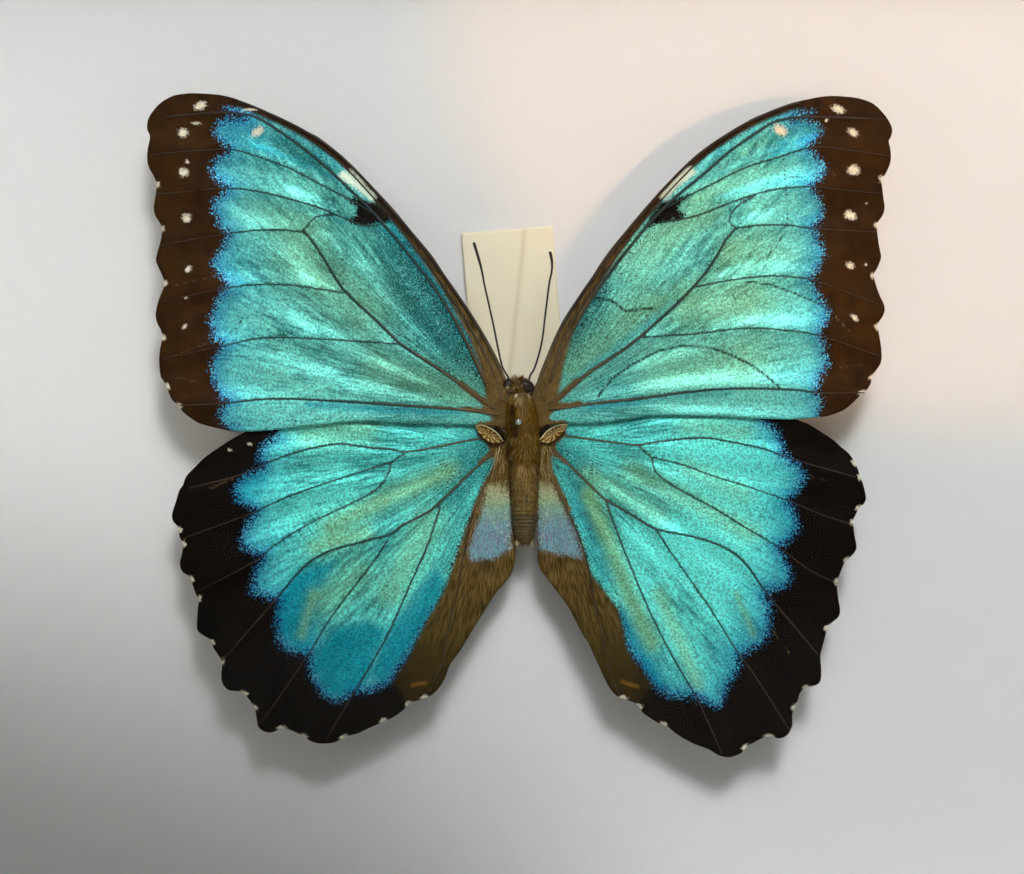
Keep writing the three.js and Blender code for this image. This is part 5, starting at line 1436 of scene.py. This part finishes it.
# Palps in front, pale and dark, and two pale tufts behind the left antenna
tufts = [
    (-0.55, 6.5, (-0.1, 1, 0.1), 90, 0.72), (0.35, 6.4, (0.2, 1, 0), 60, 0.3),
    (-1.5, 5.2, (-0.3, 0.6, 0.8), 30, 0.95), (-0.85, 5.1, (0.1, 0.5, 0.9), 30, 0.95),
]
for x, y, way, count, tone in tufts:
    spread = [rng.normal(x, 0.16, count), rng.normal(y, 0.14, count), rng.normal(9.9, 0.2, count)]
    roots = np.column_stack(spread)
    ways = np.array(way) + rng.normal(0, 0.35, (count, 3))
    up = np.tile((0.0, 0.0, 1.0), (count, 1)) + rng.normal(0, 0.3, (count, 3))
    shade = np.clip(rng.normal(tone, 0.12, count), 0, 1)
    parts.append(hair(roots, ways, up, rng.uniform(0.4, 0.8, count), 0.07, 0.2, shade))
face = build("haired_head", parts, [cuticle, hairs, eye_shell])
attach(face, "root")
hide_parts("head")

SEGMENTS = 9  # of the abdomen, each with three grooves round it
tail = loft([
    (-4.7, 0.75, 1.1, 7.8, 1.1), (-5.6, 0.75, 1.7, 7.8, 1.6), (-7.5, 0.78, 1.9, 7.8, 1.75),
    (-9.5, 0.8, 1.92, 7.8, 1.8),
    (-12, 0.8, 1.85, 7.8, 1.7), (-14, 0.8, 1.72, 7.8, 1.6), (-15.6, 0.8, 1.5, 7.8, 1.4),
    (-16.5, 0.8, 1.15, 7.8, 1.05), (-16.9, 0.8, 0.5, 7.8, 0.5),
])
parts = [
    skin_part(tail, 240, 36, rings=SEGMENTS * 3, depth=0.09),
    coat(tail, 2200, (0.02, 0.52), UPPER, 0.6, 0.05, 0.05, (0.50, 0.10), splay=0.12),
    coat(tail, 200, (0.50, 0.95), UPPER, 0.3, 0.05, 0.05, (0.22, 0.1), splay=0.12),
    coat(tail, 700, (0.02, 0.95), UNDER, 0.7, 0.08, 0.15, (0.4, 0.12), splay=0.15),
    coat(tail, 70, (0.84, 0.95), (-1.9, -0.9), 0.8, 0.06, 0.15, (0.7, 0.12), splay=0.2),
    coat(tail, 70, (0.84, 0.95), (0.9, 1.9), 0.8, 0.06, 0.15, (0.7, 0.12), splay=0.2),
    coat(tail, 420, (0.0, 0.2), UPPER, 2.0, 0.05, 0.08, (0.5, 0.12), splay=0.18),
]
abdomen = build("haired_abdomen", parts, [cuticle, hairs])
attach(abdomen, "root")
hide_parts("abdomen")


# Antennae. Ringed stalks of black-brown chitin, satin and faintly mottled, that thicken a little
# into clubs. They are socketed on the head.
horn, tree = finish("antenna_chitin")
place = add(tree, "TexCoord", {}, out="Object")
grain = add(tree, "TexNoise", {"Vector": place, "Scale": 1 / (0.3 * MM)})
color = add(tree, "Mix", {0: grain, 6: linear("1c110a"), 7: linear("38261a")}, **COLORS)
skin = add(tree, "BsdfPrincipled", {"Base Color": color, "Roughness": 0.4})
add(tree, "OutputMaterial", {"Surface": skin})
antennae = {
    "antenna_left": [(-1.4, 6.2), (-1.6, 6.9), (-2.4, 8.4), (-3, 11), (-3.6, 14), (-4.3, 17.2), (-4.9, 19.85),
                     (-5.3, 22), (-5.9, 24.2), (-6.45, 26)],
    "antenna_right": [(1.4, 6.2), (1.6, 7.1), (2.2, 8.1), (2.95, 10.5), (3.4, 12.8), (3.7, 15.45), (4, 17.8),
                      (4.3, 20.15), (4.65, 21.9), (4.7, 23.1), (4.55, 24.1), (4.4, 24.7)],
}
ANTENNA_RINGS = 40
ANTENNA_SIDES = 12
ANTENNA_STEPS = 16


def stalk_height(x, y):
    """The stalks rise a little over the board towards their tips."""
    return 9.6 + 0.02 * (y - 6)


for name, route in antennae.items():
    stalk = tube(route, (1.0, 1.0), stalk_height, sides=ANTENNA_SIDES, steps=ANTENNA_STEPS)
    share = stalk.pop("share")
    club = smoothstep(0.72, 0.9, share) * (1 - smoothstep(0.985, 1.0, share) * 0.6)
    radius = 0.14 + 0.07 * club - 0.012 * (np.sin(share * 2 * math.pi * ANTENNA_RINGS) > 0.6)
    line = curve(route, ANTENNA_STEPS)
    spine = np.column_stack([line, stalk_height(*line.T)]).repeat(ANTENNA_SIDES, axis=0)
    stalk["points"] = spine + (stalk["points"] - spine) * radius[:, None]
    feeler = build("ringed_" + name, [stalk], [horn])
    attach(feeler, "root")
    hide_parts(name)


# Insect pin. A thin spring-steel pin with a small round head, pushed through the thorax and the
# label into the board. It is polished, with a faint haze.
steel, tree = finish("polished_pin_steel")
place = add(tree, "TexCoord", {}, out="Object")
haze = add(tree, "TexNoise", {"Vector": place, "Scale": 1 / (2 * MM)})
rough = add(tree, "MapRange", {"Value": haze, "To Min": 0.12, "To Max": 0.28})
skin = add(tree, "BsdfPrincipled", {"Base Color": linear("c9ccc4"), "Metallic": 1.0, "Roughness": rough})
add(tree, "OutputMaterial", {"Surface": skin})
PIN_AT = (-0.1, 0.4)
PIN_RADIUS = 0.25
PIN_ENDS = (-3.5, 15.6)  # one in the board, the other under the head
HEAD_RADIUS = 0.45
bpy.ops.mesh.primitive_cylinder_add(
    vertices=24, radius=PIN_RADIUS * MM, depth=(PIN_ENDS[1] - PIN_ENDS[0]) * MM,
    location=at(*PIN_AT, sum(PIN_ENDS) / 2), rotation=(math.pi / 2, 0, 0))
shaft = bpy.context.object
bpy.ops.mesh.primitive_uv_sphere_add(
    segments=32, ring_count=16, radius=HEAD_RADIUS * MM, location=at(*PIN_AT, PIN_ENDS[1] + 0.05))
knob = bpy.context.object
knob.scale = (1, 0.8, 1)
shaft.select_set(True)
bpy.context.view_layer.objects.active = shaft
bpy.ops.object.join()
bpy.ops.object.transform_apply(location=True, rotation=True, scale=True)
bpy.ops.object.shade_smooth_by_angle(angle=math.radians(40))
shaft.name = "headed_pin"
shaft.data.materials.append(steel)
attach(shaft, "root")
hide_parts("insect_pin")
bpy.ops.object.select_all(action="DESELECT")


# Back panel. A 3 mm sheet of hardboard, pressed from brown wood fibres: its face is smooth and
# slightly mottled. It closes the frame from behind and is held by the tabs.
hardboard, tree = finish("brown_hardboard")
place = add(tree, "TexCoord", {}, out="Object")
cloud = add(tree, "TexNoise", {"Vector": place, "Scale": 1 / (25 * MM), "Detail": 4.0})
fibre = add(tree, "TexNoise", {"Vector": place, "Scale": 1 / (0.8 * MM), "Detail": 5.0, "Roughness": 0.7})
color = add(tree, "Mix", {0: cloud, 6: linear("7a5535"), 7: linear("8e6742")}, **COLORS)
fleck = add(tree, "MapRange", {"Value": fibre, "From Min": 0.35, "From Max": 0.65,
                               "To Min": 0.75, "To Max": 1.2})
color = add(tree, "Mix", {0: 1.0, 6: color, 7: fleck}, **COLORS, blend_type="MULTIPLY")
bump = add(tree, "Bump", {"Height": fibre, "Strength": 0.15, "Distance": 0.05 * MM})
skin = add(tree, "BsdfPrincipled", {"Base Color": color, "Roughness": 0.6, "Normal": bump})
add(tree, "OutputMaterial", {"Surface": skin})
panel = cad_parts["back_panel"]
panel.data.materials.clear()
panel.data.materials.append(hardboard)


# Tabs and hanger. Sprung steel tabs driven into the rails, that are bent to let the panel out,
# and a toothed brass-plated strip riveted to the panel. Both metals are satin from stamping.
spring, tree = finish("blued_spring_steel")
place = add(tree, "TexCoord", {}, out="Object")
haze = add(tree, "TexNoise", {"Vector": place, "Scale": 1 / (3 * MM), "Detail": 4.0})
color = add(tree, "Mix", {0: haze, 6: linear("8f9296"), 7: linear("b4b6b8")}, **COLORS)
rough = add(tree, "MapRange", {"Value": haze, "To Min": 0.28, "To Max": 0.45})
skin = add(tree, "BsdfPrincipled", {"Base Color": color, "Metallic": 1.0, "Roughness": rough})
add(tree, "OutputMaterial", {"Surface": skin})
brass, tree = finish("brass_plated_steel")
place = add(tree, "TexCoord", {}, out="Object")
haze = add(tree, "TexNoise", {"Vector": place, "Scale": 1 / (4 * MM), "Detail": 4.0})
color = add(tree, "Mix", {0: haze, 6: linear("b08a45"), 7: linear("cdaa62")}, **COLORS)
rough = add(tree, "MapRange", {"Value": haze, "To Min": 0.25, "To Max": 0.42})
skin = add(tree, "BsdfPrincipled", {"Base Color": color, "Metallic": 1.0, "Roughness": rough})
add(tree, "OutputMaterial", {"Surface": skin})
for name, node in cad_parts.items():
    if name.startswith("retaining_tab") or name == "sawtooth_hanger":
        node.data.materials.clear()
        node.data.materials.append(brass if name == "sawtooth_hanger" else spring)
        bevel = node.modifiers.new("eased edges", "BEVEL")
        bevel.width = 0.12 * MM
        bevel.segments = 2
